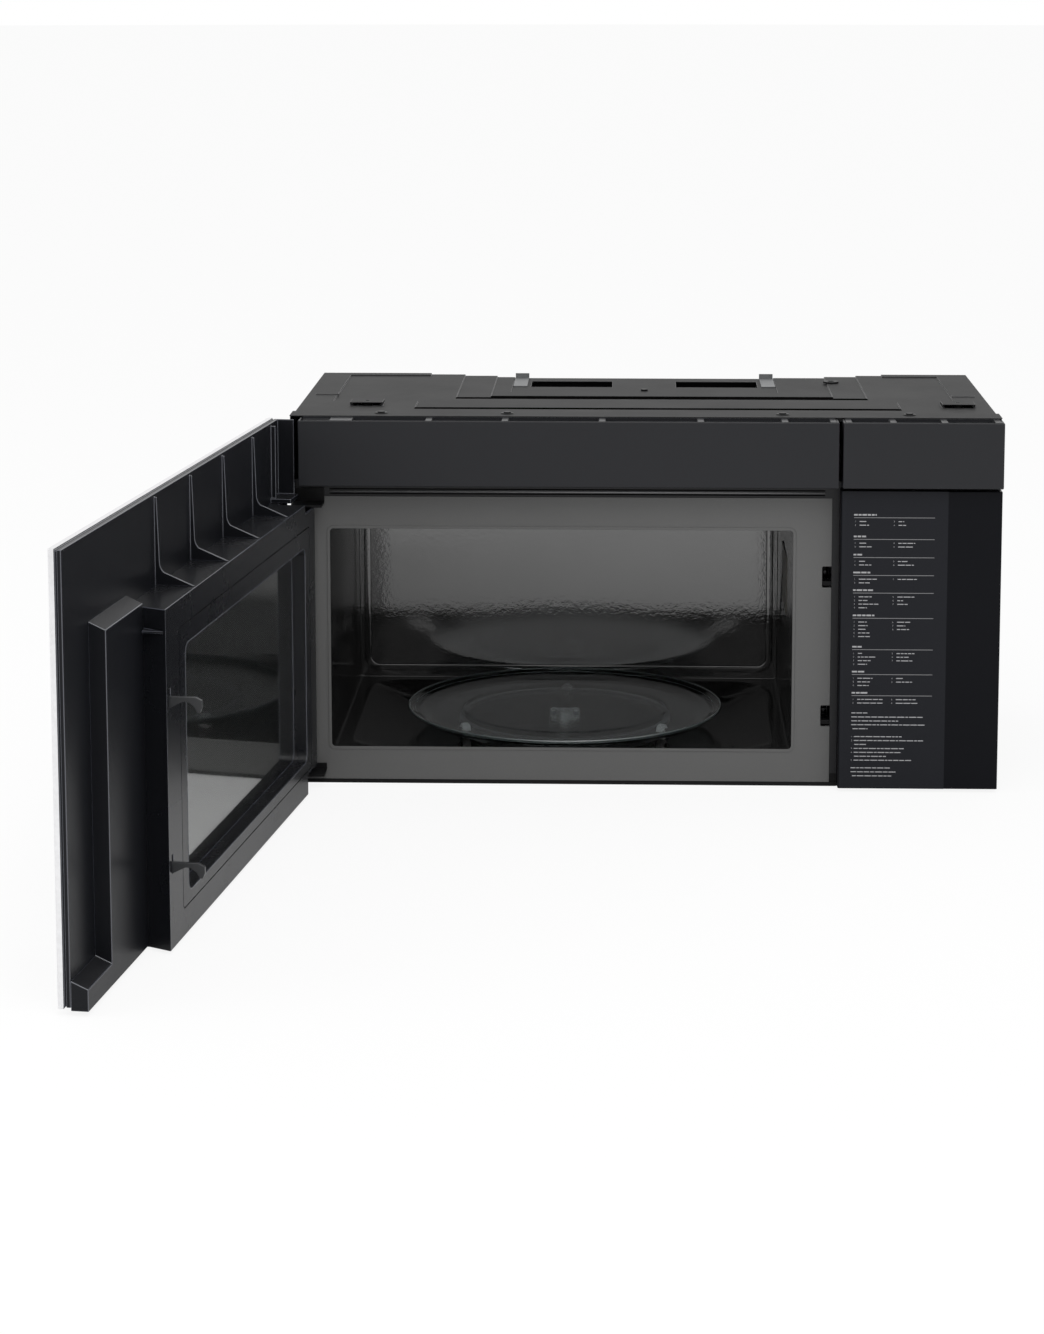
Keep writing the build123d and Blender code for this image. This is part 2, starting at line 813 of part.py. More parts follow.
def hinge_bracket(height, side):
    """A folded bracket on the front plate with its pin; side is -1 for the upper one."""
    depth = (hinge_y - 7.5, plate_y)
    x = (hinge_x - 5.5, hinge_x + hinge_leg_width)
    leg = block(x, depth, (height, height + hinge_leg))
    upright = (height, height + hinge_upright) if side < 0 else (height, height + hinge_upright / 2)
    leg += block((plate_left, x[1]), (plate_y - hinge_leg / 2, plate_y), upright)
    if side < 0:
        reach = (height - bush_length, height)
    else:
        reach = (height, lower_notch_top + bush_length)
    return leg + rod_z(hinge_x, hinge_y, reach, pin_radius)


def hinge_bushes():
    """Flangeless bushes pressed into the door's corner bosses."""
    bushes = []
    for low in (upper_hinge_height - 1 - bush_length, lower_notch_top):
        tube = rod_z(hinge_x, hinge_y, (low, low + bush_length), bush_radius)
        tube -= rod_z(hinge_x, hinge_y, (low - 1, low + bush_length + 1), pin_radius + pin_gap)
        bushes.append(tube)
    return swing(Compound(children=bushes))


# Door


def door_skin():
    """Outer steel pan of the door, with openings for the window and the touch panel."""
    x = (door_left, door_right)
    z = (door_bottom, door_top)
    skin = block(x, (door_front, door_front + skin_rim), z)
    edges = skin.edges().filter_by(Axis.Z).sort_by(Axis.Y)[:2]
    skin = fillet(edges, 1.5)
    inner_z = (z[0] + sheet, z[1] - sheet)
    skin -= block((x[0] + sheet, x[1] - sheet), (door_front + sheet, door_back), inner_z)
    reach = (door_front - 1, door_front + 2)
    skin -= pane(window_span(), reach, (window_bottom, window_bottom + window_height), window_corner)
    skin -= pane(touch_span(), reach, (touch_bottom, touch_bottom + touch_height), 4)
    return swing(skin)


def window_span():
    return door_left + window_left_margin, door_left + window_left_margin + window_width


def touch_span():
    return touch_left, touch_left + touch_width


def door_window():
    """Dark outer glass, held behind the skin by a margin all round."""
    x = window_span()
    near = door_front + sheet
    z = (window_bottom - glass_overlap, window_bottom + window_height + glass_overlap)
    glass = pane(
        (x[0] - glass_overlap, x[1] + glass_overlap),
        (near, near + window_thickness),
        z,
        window_corner,
    )
    return swing(glass)


def touch_panel():
    """Smooth touch face that fills its opening in the skin, flanged behind it."""
    x = touch_span()
    z = (touch_bottom, touch_bottom + touch_height)
    gap = running_gap
    face = pane((x[0] + gap, x[1] - gap), (door_front, door_front + sheet), (z[0] + gap, z[1] - gap), 4)
    flange = (door_front + sheet, door_front + sheet + 2)
    face += pane((x[0] - 5, x[1] + 5), flange, (z[0] - 5, z[1] + 5), 4)
    return swing(face)


def fin(x):
    """One gusset: a thin upright plate that turns out into a sloping foot on the frame."""
    foot = frame_top - base_drop
    tip = door_top - 4 - base_drop
    base = panel_back
    root = base - moulding / 2
    knee = (base + fin_knee[0], foot + fin_knee[1])
    shoulder = (base + fin_shoulder[0], foot + fin_shoulder[1])
    bend = (base + fin_shoulder[0] + 1, foot + (fin_knee[1] + fin_shoulder[1]) / 2 - 1)
    outline = [
        Line((root, foot), (base + fin_reach, foot)),
        Line((base + fin_reach, foot), knee),
        ThreePointArc(knee, bend, shoulder),
        Line(shoulder, (base + fin_tip, tip)),
        Line((base + fin_tip, tip), (root, tip)),
        Line((root, tip), (root, foot)),
    ]
    plate = Plane.YZ * make_face(outline)
    return Pos(x - fin_thickness / 2, 0, 0) * extrude(plate, fin_thickness)


def door_cover():
    """Inner moulding of the door: a pan behind the skin with gussets and an end wall."""
    near = door_front + sheet
    x = (door_left + sheet, door_right - sheet)
    z = (door_bottom + sheet, door_top - sheet)
    cover = block(x, (near, panel_back), z)
    inner_x = (x[0] + moulding, x[1] - moulding)
    inner_z = (z[0] + moulding, z[1] - moulding)
    cover -= block(inner_x, (near - 1, panel_back - moulding), inner_z)
    window = window_span()
    window_z = (window_bottom, window_bottom + window_height)
    cover -= pane(window, (near, panel_back + 1), window_z, window_corner)
    groove = (door_front + skin_rim + 1, door_front + skin_rim + 2)
    ring = block((x[0] - 1, x[1] + 1), groove, (z[0] - 1, z[1] + 1))
    ring -= block((x[0] + 0.8, x[1] - 0.8), groove, (z[0] + 0.8, z[1] - 0.8))
    cover -= ring
    for spot in fin_spots:
        cover += fin(spot)
    rib = (end_rib_spot - fin_thickness / 2, end_rib_spot + fin_thickness / 2)
    cover += block(rib, (panel_back - 1, panel_back + end_rib_reach), (frame_top, door_top - 4))
    ledge_z = (frame_top + running_gap, frame_top + end_ledge_height)
    ledge_y = (panel_back - 1, door_front + end_ledge_reach)
    cover += block((x[0], x[0] + end_ledge_width), ledge_y, ledge_z)
    wall_z = (ledge_z[0], door_top - sheet)
    cover += block((x[0], x[0] + moulding), (panel_back - 1, door_front + end_wall_reach), wall_z)
    return swing(cover)


def sloped_box(x, root_top, inset):
    """A box on the door's panel whose top falls toward its face, drawn in by an inset."""
    low = control_bottom + inset
    near = panel_back - (1 if inset else 0)
    outline = [
        (near, low),
        (control_face - inset, low),
        (control_face - inset, root_top - control_fall - inset),
        (near, root_top - inset),
    ]
    return prism_x(outline, (x[0] + inset, x[1] - inset))


def control_cover():
    """Raised rear cover of the controls, with the foot that ends the finger pocket."""
    box = ((frame_root, control_right), control_top)
    foot = ((frame_root, door_right - sheet), control_bottom + foot_height)
    cover = sloped_box(*box, 0) + sloped_box(*foot, 0)
    return swing(cover - sloped_box(*box, moulding) - sloped_box(*foot, moulding))


def display_board():
    """Circuit board of the controls with its display and a connector."""
    x = (frame_root + display_inset, control_right - display_inset)
    near = panel_back
    z = (display_bottom, control_top - display_drop)
    face = near + board_thickness
    middle = (z[0] + z[1]) / 2
    display_z = (middle - display_width / 2, middle + display_width / 2)
    start = x[0] + display_inset
    rise = (face, face + display_depth)
    board = block(x, (near, face), z)
    board += block((start, start + display_width), rise, display_z)
    board += block((start, start + connector_width), rise, (z[1] - 20, z[1] - 5))
    return swing(board)


def frame_section(x, y, z, wall):
    """A ring-shaped channel round the recess, open toward the door's front."""
    ring = block(x, y, z)
    hole_z = (recess_bottom, recess_top)
    hole = pane((recess_left, recess_right), (y[0] - 1, y[1] + 1), hole_z, recess_corner)
    inner = block((x[0] + wall, x[1] - wall), (y[0] - 1, y[1] - wall), (z[0] + wall, z[1] - wall))
    inner -= pane(
        (recess_left - wall, recess_right + wall),
        (y[0] - 2, y[1]),
        (recess_bottom - wall, recess_top + wall),
        recess_corner + wall,
    )
    return ring - hole - inner


def hinge_space(low, high):
    """Room in the door's corner for a bracket and its pin."""
    x = (door_left - 1, hinge_x + hinge_notch)
    return block(x, (hinge_y - 11, door_back + 1), (low, high))


def boss(low, wall):
    x = (door_left, hinge_x + bush_radius + 4)
    y = (hinge_y - bush_radius - 3 - wall, hinge_y + bush_radius + 3 + wall)
    return block(x, y, (low - wall, low + boss_length + wall))


def boss_places():
    return upper_hinge_height - 1 - boss_length, lower_notch_top


def frame_split():
    """Depth where the steel frame ends and the choke cover begins."""
    return screen_back


def door_frame():
    """Steel inner frame of the door, a channel that carries the perforated screen."""
    depth = (panel_back, frame_split())
    inset = choke_wall
    span = (door_left + inset, frame_root - inset)
    frame = frame_section(span, depth, (frame_bottom + inset, frame_top - inset), sheet)
    frame -= hinge_space(upper_hinge_height - 1 - boss_length - 2, frame_top + 1)
    frame -= hinge_space(0, lower_notch_top + boss_length + 2)
    return swing(frame)


def flared(inset, back):
    """The choke cover's plan, whose end wall leans out to the door's face, run along Z."""
    lean = frame_flare / (door_back - control_face)
    wall = inset * math.sqrt(1 + lean**2)
    outline = [
        (door_left + inset, panel_back - inset),
        (frame_root - inset, panel_back - inset),
        (frame_root - inset, control_face + inset * math.tan(math.atan(lean) / 2)),
        (frame_root - wall + lean * (back - control_face), back),
        (door_left + inset, back),
    ]
    low = frame_bottom + inset - base_drop
    high = frame_top - inset - base_drop
    return Pos(0, 0, low) * extrude(make_face(Polyline(outline, close=True)), high - low)


def choke_cover():
    """Moulded cover of the door's seal channel, with hook slots and hinge bosses."""
    cover = flared(0, door_back) - flared(choke_wall, door_back - choke_wall)
    rim_x = (recess_left - choke_wall, recess_right + choke_wall)
    rim_z = (recess_bottom - choke_wall, recess_top + choke_wall)
    cover += pane(rim_x, (frame_split(), door_back), rim_z, recess_corner + choke_wall)
    pocket_z = (recess_bottom - glass_overlap, recess_top + glass_overlap)
    pocket_x = (recess_left - glass_overlap, recess_right + glass_overlap)
    seat_x = (pocket_x[0] - 2, pocket_x[1] + 2)
    seat_z = (pocket_z[0] - 2, pocket_z[1] + 2)
    cover += pane(seat_x, (frame_split(), glass_face + 2), seat_z, recess_corner)
    hole = ((recess_left, recess_right), (frame_split() - 1, door_back + 1), (recess_bottom, recess_top))
    cover -= pane(*hole, recess_corner)
    cover -= pane(pocket_x, (frame_split() - 1, glass_face), pocket_z, recess_corner)
    cover -= seam()
    for height in hook_heights:
        low = height - arm_height / 2 - seat_gap
        high = height + arm_height / 2 + lever_travel + seat_gap
        slot_x = (lever_left - seat_gap, lever_left + lever_thickness + seat_gap)
        cover -= block(slot_x, (door_back - 4, door_back + 1), (low, high))
    spring_top = hook_heights[1] + lever_above_hook + 2 * running_gap + spring_length
    rib_x = (lever_left - seat_gap, lever_left + lever_thickness + seat_gap)
    rib_y = (door_back - lever_back, door_back - choke_wall / 2)
    cover += block(rib_x, rib_y, (spring_top, spring_top + choke_wall))
    clip_y = (control_face + 1, door_back - choke_wall)
    clip_z = (frame_top - clip_drop, frame_top - clip_drop + choke_wall)
    clip = block((frame_root - choke_wall, frame_right - sheet / 2), clip_y, clip_z)
    cover += clip - flared(choke_wall, door_back)
    cover -= hinge_space(upper_hinge_height - 1, frame_top + 1)
    cover -= hinge_space(0, lower_notch_top)
    for low in boss_places():
        cover += boss(low, 0)
    for low in (upper_hinge_height - 1 - bush_length, lower_notch_top):
        cover -= rod_z(hinge_x, hinge_y, (low - 0.01, low + bush_length + 0.01), bush_radius)
    return swing(cover)


def seam():
    """Groove in the door's inner face, a rounded rectangle round the recess."""
    x = (recess_left - groove_margin, recess_right + groove_margin)
    z = (recess_bottom - groove_rise, recess_top + groove_margin)
    depth = (door_back - groove_width, door_back + 1)
    ring = pane(x, depth, z, groove_corner)
    inner_x = (x[0] + groove_width, x[1] - groove_width)
    inner_z = (z[0] + groove_width, z[1] - groove_width)
    return ring - pane(inner_x, depth, inner_z, groove_corner - groove_width)


def door_mesh():
    """Perforated screen, welded over the frame's window."""
    x = (recess_left - 4, recess_right + 4)
    z = (recess_bottom - 4, recess_top + 4)
    return swing(pane(x, (screen_back, screen_back + screen_thickness), z, recess_corner))


def door_inner_glass():
    x = (recess_left - glass_overlap + seat_gap, recess_right + glass_overlap - seat_gap)
    z = (recess_bottom - glass_overlap + seat_gap, recess_top + glass_overlap - seat_gap)
    return swing(pane(x, (glass_back, glass_face), z, recess_corner))


def hook(height):
    """An arm that narrows to its neck, and a head that drops behind the catch bar."""
    start = door_back - 0.75 * lever_back
    tip = door_back + hook_reach
    top = height + arm_height / 2
    low = height - arm_height / 2
    neck = top - hook_neck
    points = [
        (start, low),
        (door_back + 1, low),
        (door_back + hook_reach * 0.4, neck),
        (tip - hook_head - 6, neck),
        (tip - hook_head, low + 1.5),
        (tip - 5, low - hook_drop),
        (tip - 2, low - hook_drop),
        (tip, low + 1),
        (tip, height + 2),
        (tip - 6, top),
        (start, top),
    ]
    return prism_x(points, (lever_left, lever_left + lever_thickness))


def latch_lever():
    """A sliding bar inside the door with two hooks that reach out of its face."""
    x = (lever_left, lever_left + lever_thickness)
    y = (door_back - lever_back, door_back - lever_back / 2)
    z = (hook_heights[0] - lever_below_hook, hook_heights[1] + lever_above_hook)
    lever = block(x, y, z)
    for height in hook_heights:
        lever += hook(height)
    middle = (z[0] + z[1]) / 2
    guide = (y[0], door_back - choke_wall - running_gap)
    lever += block(x, guide, (middle - arm_height / 2, middle + arm_height / 2))
    return swing(lever)


def latch_spring():
    """Return spring above the lever, as its plain envelope."""
    y = door_back - 0.75 * lever_back
    x = lever_left + lever_thickness / 2
    low = hook_heights[1] + lever_above_hook + running_gap
    return swing(rod_z(x, y, (low, low + spring_length), spring_radius))


# Latch board


def latch_board():
    """Switch carrier behind the latch slots, with a catch bar for each hook."""
    near = plate_y + plate_thickness + strip_thickness
    x = (slot_left - latch_side, slot_left + slot_width + latch_reach)
    z = (hook_heights[0] - latch_margin, hook_heights[1] + latch_margin)
    board = block((x[0], x[0] + latch_wall), (near, near + latch_board_depth), z)
    board += block(x, (near, near + latch_wall), z)
    for height in hook_heights:
        low = height - slot_drop
        slot_y = (near - 1, near + latch_wall + 1)
        board -= block((slot_left, x[1] + 1), slot_y, (low, low + slot_height))
        bar_top = height - arm_height / 2 - running_gap
        bar = (near, door_back + hook_reach - hook_head - running_gap)
        board += block((x[0], slot_left + slot_width), bar, (bar_top - catch_thickness, bar_top))
    return board


def switch_places():
    """Depth, height and lead of the three door switches."""
    back = door_back + hook_reach + plunger_gap
    return (
        ("upper", back, hook_heights[1]),
        ("lower", back, hook_heights[0]),
        ("monitor", back, hook_heights[0] - 3.5 * plunger_radius),
    )


def interlock_switches():
    """Three snap switches, each with a bore for its plunger."""
    x_middle = lever_left + lever_thickness / 2
    switches = []
    for name, back, height in switch_places()[:2]:
        near = back + plunger_travel + 2
        z = (height - switch_height * 0.25, height + switch_height * 0.75)
        body = block((slot_left - 4, slot_left - 4 + switch_width), (near, near + switch_length), z)
        body -= rod_y(x_middle, (near - 1, near + 8), height, plunger_radius + pin_gap)
        switches.append(body)
    name, back, height = switch_places()[2]
    near = back + plunger_travel + 2
    z = (height - switch_height, hook_heights[0] - switch_height * 0.25)
    body = block((slot_left - 4, slot_left - 4 + switch_width), (near, near + switch_length), z)
    body -= rod_y(x_middle, (near - 1, near + 8), height, plunger_radius + pin_gap)
    switches.append(body)
    return Compound(children=switches)


def plunger(place):
    name, back, height = place
    x_middle = lever_left + lever_thickness / 2
    stem_end = back + plunger_travel + 2 + 8 - plunger_travel - running_gap
    return rod_y(x_middle, (back, stem_end), height, plunger_radius)


# Turntable


def turntable_motor():
    """Flat synchronous motor under the cavity, with its mounting ears."""
    top = cavity_floor_height - sheet
    motor = rod_z(tray_x, tray_y, (top - motor_height, top), motor_radius)
    for side in (-1, 1):
        near = tray_x + side * (motor_radius - 3)
        far = tray_x + side * (motor_radius + 9)
        motor += block(sorted((near, far)), (tray_y - 6, tray_y + 6), (top - 2, top))
    return motor - rod_z(tray_x, tray_y, (top - 8, top + 1), shaft_radius + shaft_gap)


def turntable_coupler():
    """Three-winged hub on its shaft; the wings drive the tray's lugs."""
    low = cavity_floor_height + running_gap
    high = tray_height_low - running_gap
    hub = rod_z(tray_x, tray_y, (low, high), coupler_radius)
    for turn in range(3):
        wing = Pos(wing_reach / 2, 0, 0) * Box(wing_reach, wing_width, high - low)
        wing = Rot(0, 0, 30 + 120 * turn) * wing
        hub += Pos(tray_x, tray_y, (low + high) / 2 - base_drop) * wing
    shaft_low = cavity_floor_height - sheet - 7
    return hub + rod_z(tray_x, tray_y, (shaft_low, low), shaft_radius)


def glass_tray():
    """Shallow glass tray with a raised rim, a roller track and three drive lugs."""
    low = tray_height_low - base_drop
    high = low + tray_height
    rim = tray_radius
    step = ring_radius - 4
    floor = low + glass_thickness
    profile = [
        (0, low),
        (tray_flat, low),
        (rim - 9, low + 2.6),
        (rim, high - 2),
        (rim - 1, high),
        (rim - 3, high - 0.5),
        (rim - 13, low + 6.5),
        (tray_flat, floor),
        (step, floor),
        (step - 3, floor + 0.8),
        (0, floor + 0.8),
    ]
    disc = revolve(Plane.XZ * make_face(Polyline(profile, close=True)), Axis.Z)
    tray = Pos(tray_x, tray_y, 0) * disc
    for turn in range(3):
        angle = math.radians(30 + 60 + 120 * turn)
        x = tray_x + (wing_reach - 2) * math.cos(angle)
        y = tray_y + (wing_reach - 2) * math.sin(angle)
        tray += rod_z(x, y, (tray_height_low - 5, tray_height_low + 1), lug_radius)
    return tray


def roller_ring():
    """Flat ring that carries three axles; each axle ends in a stop."""
    low = roller_height - ring_height / 2
    ring = rod_z(tray_x, tray_y, (low, low + ring_height), ring_radius)
    ring -= rod_z(tray_x, tray_y, (low - 1, low + ring_height + 1), ring_radius - ring_width)
    inner = track_radius - roller_width / 2 - running_gap
    outer = track_radius + roller_width / 2 + running_gap
    for turn in range(3):
        axle = Pos((ring_radius - 2 + outer + 1) / 2, 0, 0) * Rot(0, 90, 0)
        axle *= Cylinder(axle_radius, outer + 1 - ring_radius + 2)
        collar = Pos((ring_radius - 1 + inner) / 2, 0, 0) * Rot(0, 90, 0)
        collar *= Cylinder(axle_radius + 1.1, inner - ring_radius + 1)
        stop = Pos(outer + 1, 0, 0) * Rot(0, 90, 0) * Cylinder(axle_radius + 1.1, 2)
        arm = axle + collar + stop
        place = Pos(tray_x, tray_y, roller_height - base_drop) * Rot(0, 0, 90 + 120 * turn)
        ring += place * arm
    return ring


def roller(turn):
    wheel = Cylinder(roller_radius, roller_width)
    wheel = chamfer(wheel.edges().filter_by(GeomType.CIRCLE), 1.5)
    wheel -= Cylinder(axle_radius + axle_gap, roller_width + 1)
    place = Pos(tray_x, tray_y, roller_height - base_drop) * Rot(0, 0, 90 + 120 * turn)
    return place * Pos(track_radius, 0, 0) * Rot(0, 90, 0) * wheel


# Microwave feed and electronics


def waveguide_cover():
    """Thin mica sheet over the feed port, inside the cavity's right wall."""
    y = (tray_y - port_width / 2 - mica_overlap, tray_y + port_width / 2 + mica_overlap)
    z = (port_bottom - mica_overlap, port_bottom + port_height + mica_overlap)
    return block((cavity_right - mica_thickness, cavity_right), y, z)


def waveguide():
    """Short box guide between the magnetron and the feed port."""
    wall = cavity_right + sheet
    y = (tray_y - port_width / 2 - 8, tray_y + port_width / 2 + 8)
    z = (port_bottom - 6, port_bottom + port_height + guide_rise)
    guide = block((wall, wall + guide_length), y, z)
    inner_y = (y[0] + sheet, y[1] - sheet)
    guide -= block((wall - 1, wall + guide_length - sheet), inner_y, (z[0] + sheet, z[1] - sheet))
    return guide


def magnetron():
    """Magnetron can with a stack of cooling fins and its antenna stub."""
    near = cavity_right + sheet + guide_length
    top = port_bottom + port_height + guide_rise - 4
    z = (top - magnetron_height, top)
    y = (tray_y - magnetron_depth / 2, tray_y + magnetron_depth / 2)
    body = block((near, near + 4), y, z)
    body += block((near + magnetron_width - 4, near + magnetron_width), y, z)
    for side in (0, 1):
        rib_y = (y[0], y[0] + 3) if side == 0 else (y[1] - 3, y[1])
        body += block((near, near + magnetron_width), rib_y, (z[0], z[0] + 10))
        body += block((near, near + magnetron_width), rib_y, (z[1] - 10, z[1]))
    middle = (z[0] + z[1]) / 2
    core = Pos(near, tray_y, middle - base_drop) * (Plane.YZ * RegularPolygon(20, 12))
    body += extrude(core, magnetron_width, dir=(1, 0, 0))
    pitch = (magnetron_width - 8) / (fin_count + 1)
    for number in range(fin_count):
        x = near + 4 + pitch * (number + 1)
        body += block((x - 0.6, x + 0.6), (y[0] + 4, y[1] - 4), (z[0] + 4, z[1] - 4))
    return body


def inner_deck():
    """Sheet that carries the electronics above the air duct."""
    x = (cavity_right + sheet, right - sheet)
    return block(x, (plate_y + plate_thickness + 2, -sheet), (deck_height, deck_height + sheet))


def hv_transformer():
    """Laminated core with a winding on each side, on its mounting foot."""
    x = transformer_spot
    y = plate_y + transformer_setback
    low = deck_height + sheet
    core_x = (x - core_width / 2, x + core_width / 2)
    core_y = (y - core_depth / 2, y + core_depth / 2)
    core = block(core_x, core_y, (low + 2, low + core_height))
    foot = block((core_x[0] - transformer_foot, core_x[1] + transformer_foot), core_y, (low, low + 2))
    winding_y = (core_y[0] - winding_overhang, core_y[1] + winding_overhang)
    winding_z = (low + core_height / 5, low + core_height * 5 / 6)
    winding = block((x - core_width / 3, x + core_width / 3), winding_y, winding_z)
    winding = chamfer(winding.edges().filter_by(Axis.X), 6)
    return core + foot + winding


def hv_capacitor():
    """Oval can with two tab terminals."""
    low = deck_height + sheet
    outline = SlotOverall(can_width, 2 * can_radius)
    can = Pos(capacitor_spot, -capacitor_setback, low - base_drop) * extrude(outline, can_height)
    tab_y = (-capacitor_setback - sheet / 2, -capacitor_setback + sheet / 2)
    for side in (-1, 1):
        x = capacitor_spot + side * tab_spread
        tab_x = (x - tab_width / 2, x + tab_width / 2)
        can += block(tab_x, tab_y, (low + can_height - 1, low + can_height + tab_height))
    return can


def fan_housing():
    """Upright mount of the cooling fan with its ring, spider and motor."""
    ring_radius_out = fan_radius + 5
    back = -fan_setback + fan_depth / 2
    front = -fan_setback - fan_depth / 2
    low = deck_height + sheet
    plate_top_height = fan_height + ring_radius_out + 4
    x = (fan_middle - ring_radius_out - 4, fan_middle + ring_radius_out + 4)
    housing = block(x, (back - 2, back), (low, plate_top_height))
    housing += rod_y(fan_middle, (front, back), fan_height, ring_radius_out)
    housing -= rod_y(fan_middle, (front - 1, back + 1), fan_height, fan_radius + 2)
    for turn in range(3):
        spoke = Pos(0, 0, (fan_radius + 4) / 2) * Box(6, 2, fan_radius + 4)
        spoke = Rot(0, 90 + 120 * turn, 0) * spoke
        housing += Pos(fan_middle, back - 1, fan_height - base_drop) * spoke
    housing += rod_y(fan_middle, (back - 2, back + 14), fan_height, 18)
    bore = rod_y(fan_middle, (back - 3, back + 8), fan_height, fan_shaft_radius + shaft_gap)
    return housing - bore


def fan_wheel():
    """Axial fan wheel with pitched blades on a hub and shaft."""
    back = -fan_setback + fan_depth / 2 - 2 - 1
    front = -fan_setback - fan_depth / 2 + 2
    wheel = rod_y(fan_middle, (front, back), fan_height, 12)
    for turn in range(fan_blades):
        blade = Pos(0, 0, (fan_radius + 10) / 2) * Rot(0, 0, 38) * Box(22, 1.5, fan_radius - 10)
        blade = Rot(0, 360 / fan_blades * turn, 0) * blade
        wheel += Pos(fan_middle, (front + back) / 2, fan_height - base_drop) * blade
    return wheel + rod_y(fan_middle, (back, back + 8), fan_height, fan_shaft_radius)


def power_board():
    """Power board standing behind the guide panel, with relays and a heat sink."""
    x = (guide_left + board_inset, guide_left + board_inset + board_width)
    y = plate_y + plate_thickness + 4
    low = deck_height + sheet
    board = block(x, (y, y + board_thickness), (low, low + board_height))
    back = y + board_thickness
    for number in range(3):
        side = x[0] + board_inset + relay_pitch * number
        relay_z = (low + relay_height, low + 2 * relay_height)
        board += block((side, side + relay_width), (back, back + relay_depth), relay_z)
    sink_x = (x[1] - board_inset - sink_width, x[1] - board_inset)
    sink_z = (low + board_height / 2, low + board_height / 2 + sink_height)
    board += block(sink_x, (back, back + sink_depth), sink_z)
    can_z = low + board_height * 0.65
    return board + rod_y(x[0] + 2 * relay_pitch, (back, back + sink_depth), can_z, relay_width / 2)


# Blower


def blower_height():
    """Height of the shaft: the scroll just stands on the cavity's top."""
    return cavity_top + 2 * sheet + wheel_radius + scroll_gap + scroll_growth / 2


def scroll_outline(inset):
    """Spiral side outline of a blower housing, with its mouth opening upward."""
    middle_y = -blower_depth
    middle_z = blower_height() - base_drop
    steps = 6
    start = math.radians(150)
    turn = math.radians(210)

    def spot(share):
        angle = start + turn * share
        radius = wheel_radius + scroll_gap + scroll_growth * share - inset
        return middle_y + radius * math.cos(angle), middle_z + radius * math.sin(angle)

    mouth = outlet_level - 2 * sheet - base_drop + inset
    outline = []
    for number in range(steps):
        shares = (number / steps, (number + 0.5) / steps, (number + 1) / steps)
        outline.append(ThreePointArc(*[spot(share) for share in shares]))
    first = spot(0)
    last = spot(1)
    outline.append(Line(last, (last[0], mouth)))
    outline.append(Line((last[0], mouth), (first[0], mouth)))
    outline.append(Line((first[0], mouth), first))
    return make_face(outline)


def scroll(side):
    """One half of the blower housing, a spiral case with an air inlet in each wall."""
    x = (scroll_start, scroll_start + scroll_length)
    case = extrude(Plane.YZ * scroll_outline(0), scroll_length)
    hollow = Pos(sheet, 0, 0) * extrude(Plane.YZ * scroll_outline(sheet), scroll_length - 2 * sheet)
    case = Pos(x[0], 0, 0) * (case - hollow)
    case -= rod_x((x[0] - 1, x[1] + 1), -blower_depth, blower_height(), inlet_radius)
    return case if side > 0 else mirror(case, Plane.YZ)


def blower_housing():
    """Both scrolls on their common base plate."""
    low = cavity_top + sheet
    reach = scroll_start + scroll_length
    base = block((-reach, reach), (-blower_depth - 44, -blower_depth + 44), (low, low + sheet))
    housing = base
    for side in (-1, 1):
        housing += scroll(side)
        x = sorted((side * scroll_start, side * (scroll_start + 8)))
        housing += block(x, (-blower_depth - 20, -blower_depth + 20), (low, low + 6))
    return housing


def blower_motor():
    """Double-shafted motor on its strap between the two scrolls."""
    half = blower_motor_length / 2
    middle = blower_height()
    motor = rod_x((-half, half), -blower_depth, middle, blower_motor_radius)
    ends = motor.edges().filter_by(GeomType.CIRCLE)
    motor = chamfer(ends, 4)
    strap_low = cavity_top + 2 * sheet
    motor += block((-12, 12), (-blower_depth - 22, -blower_depth + 22), (strap_low, middle - 12))
    return motor - rod_x((-half - 1, half + 1), -blower_depth, middle, rotor_shaft_radius + shaft_gap)


def blade_ring():
    """Forward-curved blades of one wheel, drawn about the X axis."""
    blades = []
    for number in range(blade_count):
        angle = 360 / blade_count * number
        blade = Box(wheel_length, blade_depth, blade_thickness)
        blade = Pos(0, wheel_radius - blade_depth / 2 + 1, 0) * Rot(blade_pitch, 0, 0) * blade
        blades.append(Rot(angle, 0, 0) * blade)
    return blades


def blower_rotor():
    """Shaft with two squirrel-cage wheels, each blades between a disc and a rim."""
    shaft_end = wheel_start + wheel_length
    middle = blower_height()
    rotor = rod_x((-shaft_end, shaft_end), -blower_depth, middle, rotor_shaft_radius)
    for side in (-1, 1):
        inner = side * wheel_start
        outer = side * (wheel_start + wheel_length)
        disc = rod_x(sorted((inner, inner + side * 1.5)), -blower_depth, middle, wheel_radius)
        hub = rod_x(sorted((inner, inner + side * 22)), -blower_depth, middle, 9)
        rim = rod_x(sorted((outer, outer - side * rim_width)), -blower_depth, middle, wheel_radius)
        rim -= rod_x((-2 * shaft_end, 2 * shaft_end), -blower_depth, middle, wheel_radius - blade_depth)
        place = Pos((inner + outer) / 2, -blower_depth, middle - base_drop)
        cage = [place * blade for blade in blade_ring()]
        rotor = rotor.fuse(disc, hub, rim, *cage)
    return rotor


def outlet_slots():
    """The two mouths of the blower in the outlet plate."""
    slots = []
    for side in (-1, 1):
        near = side * (scroll_start + sheet)
        far = side * (scroll_start + scroll_length - sheet)
        depth = (-outlet_front, -outlet_back)
        slots.append(block(sorted((near, far)), depth, (outlet_level - 9, body_height)))
    return slots


